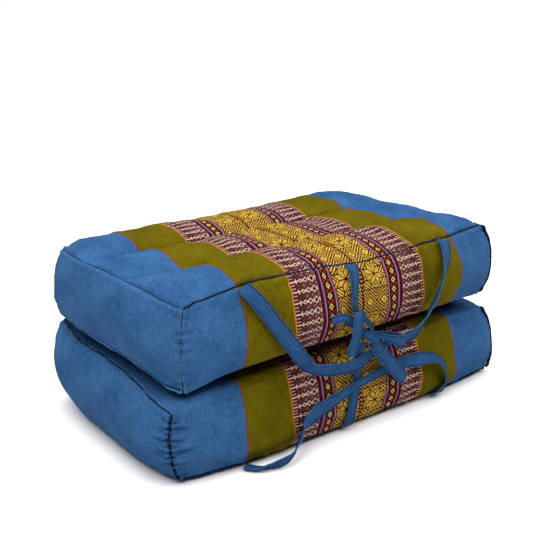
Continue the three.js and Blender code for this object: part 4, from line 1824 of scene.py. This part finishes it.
# Proud seams: leaf and place, edge, outward direction, seed, size, sway, how far the fold stands
# out, and the thread sewn round it
CORNER_LEFT = (-0.75, -0.66, 0)
CORNER_RIGHT = (0.8, -0.6, 0)
SEAM_RIDGES = [
    ("upper_front", "frontHigh", (0, -1, 0.75), 11, 0.62, 0.4, 0.45, overcast),
    ("lower_front", "frontLow", (0, -1, -0.3), 12, 0.8, 0.4, 0.45, overcast),
    ("upper_right", "rightFront", CORNER_RIGHT, 13, 1.3, 0.7, 1.0, black_stitch),
    ("lower_right", "rightFront", CORNER_RIGHT, 14, 1.35, 0.9, 1.0, black_stitch),
    ("lower_left", "leftFront", CORNER_LEFT, 15, 0.8, 1.3, 0.3, black_stitch),
    ("lower_end", "leftHigh", (-0.6, 0, 0.8), 16, 0.42, 0.7, 0.3, navy_fold_and_crease_shade_dye),
]
for name, edge, outward, seed, size, sway, stand, thread_used in SEAM_RIDGES:
    line = LEAVES[name.split("_")[0]][1][edge][0]
    fold, thread = make_ridge("ridge_" + name, line, outward, seed, size, sway, stand)
    dress(fold, navy_fold_and_crease_shade_dye)
    dress(thread, thread_used)

roll, groove = make_flange(
    "flange_upper_left", upper, upper_seams["leftLow"], 17,
    outward=(-0.95, 0, -0.15), offset=3.9, radius=1.5,
)
dress(roll, flange_highlight_dye)
# The groove is a dark tube of painted shade in the crease beside the roll.
dress(groove, navy_fold_and_crease_shade_dye)

# Plain seams: leaf, edge, the rows of stitches beside the line (offset, radius), the line's own
# radius, and its sway
ONE_ROW = [(0.9, 0.75)]
SEAM_LINES = [
    ("upper", "leftHigh", [], 0.5, 0.2),
    ("upper", "leftFront", [(1.7, 0.9), (-1.7, 0.8)], 0.36, 0.1),
    ("upper", "leftBack", ONE_ROW, 0.45, 0.2),
    ("upper", "rightHigh", ONE_ROW, 0.5, 0.2),
    ("upper", "rightLow", ONE_ROW, 0.45, 0.2),
    ("upper", "rightBack", ONE_ROW, 0.45, 0.2),
    ("lower", "leftHigh", [(2.0, 0.8)], 0.6, 0.8),
    ("lower", "leftLow", ONE_ROW, 0.45, 0.2),
    ("lower", "leftFront", [(1.9, 0.9)], 0.6, 0.6),
    ("lower", "leftBack", ONE_ROW, 0.45, 0.2),
    ("lower", "rightHigh", ONE_ROW, 0.5, 0.2),
    ("lower", "rightLow", ONE_ROW, 0.45, 0.2),
    ("lower", "rightBack", ONE_ROW, 0.45, 0.2),
]
for number, (leaf_name, edge, rows, radius, sway) in enumerate(SEAM_LINES):
    piece, seams = LEAVES[leaf_name]
    name = f"seam_{leaf_name}_{edge}"
    seed = 31 + 7 * number
    line, *stitches = make_seam_line(name, piece, seams[edge], seed, rows, radius, sway)
    dress(line, groove_shade_dye)
    for row in stitches:
        dress(row, pale_stitch)
loops = make_loop_stitches("repair_stitches", lower_seams["leftFront"], CORNER_LEFT)
dress(loops, black_stitch)

TAPES = [
    ("carry_strap_upper", CARRY_STRAP_UPPER, STRAP_WIDTH),
    ("carry_strap_lower", CARRY_STRAP_LOWER, STRAP_WIDTH),
    ("tie_upper", TIE_UPPER, TIE_WIDTH),
    ("tie_lower", TIE_LOWER, TIE_WIDTH),
    ("bow_loop_long", BOW_LOOP_LONG, TIE_WIDTH),
    ("bow_loop_short", BOW_LOOP_SHORT, TIE_WIDTH),
    ("bow_end_folded", BOW_END_FOLDED, TIE_WIDTH),
    ("bow_end_left", BOW_END_LEFT, TIE_WIDTH),
    ("bow_knot", KNOT_BAND, TIE_WIDTH),
]
for seed, (node, rows, full_width) in enumerate(TAPES, 1):
    piece, length, width = make_tape(node + "_tape", rows, full_width, seed)
    dress(piece, tape)
    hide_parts(node)

folded_end = np.array(BOW_END_FOLDED[-1][:3], float)
fray = make_fray(
    "bow_end_fray", folded_end, np.array([-0.2, 0, -1.0]), np.array([1.0, 0, -0.14]), seed=3,
)
dress(fray, fray_dye)

fold_band, band_length, band_height = make_fold_band()
dress(fold_band, cloth)
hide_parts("fold_band")
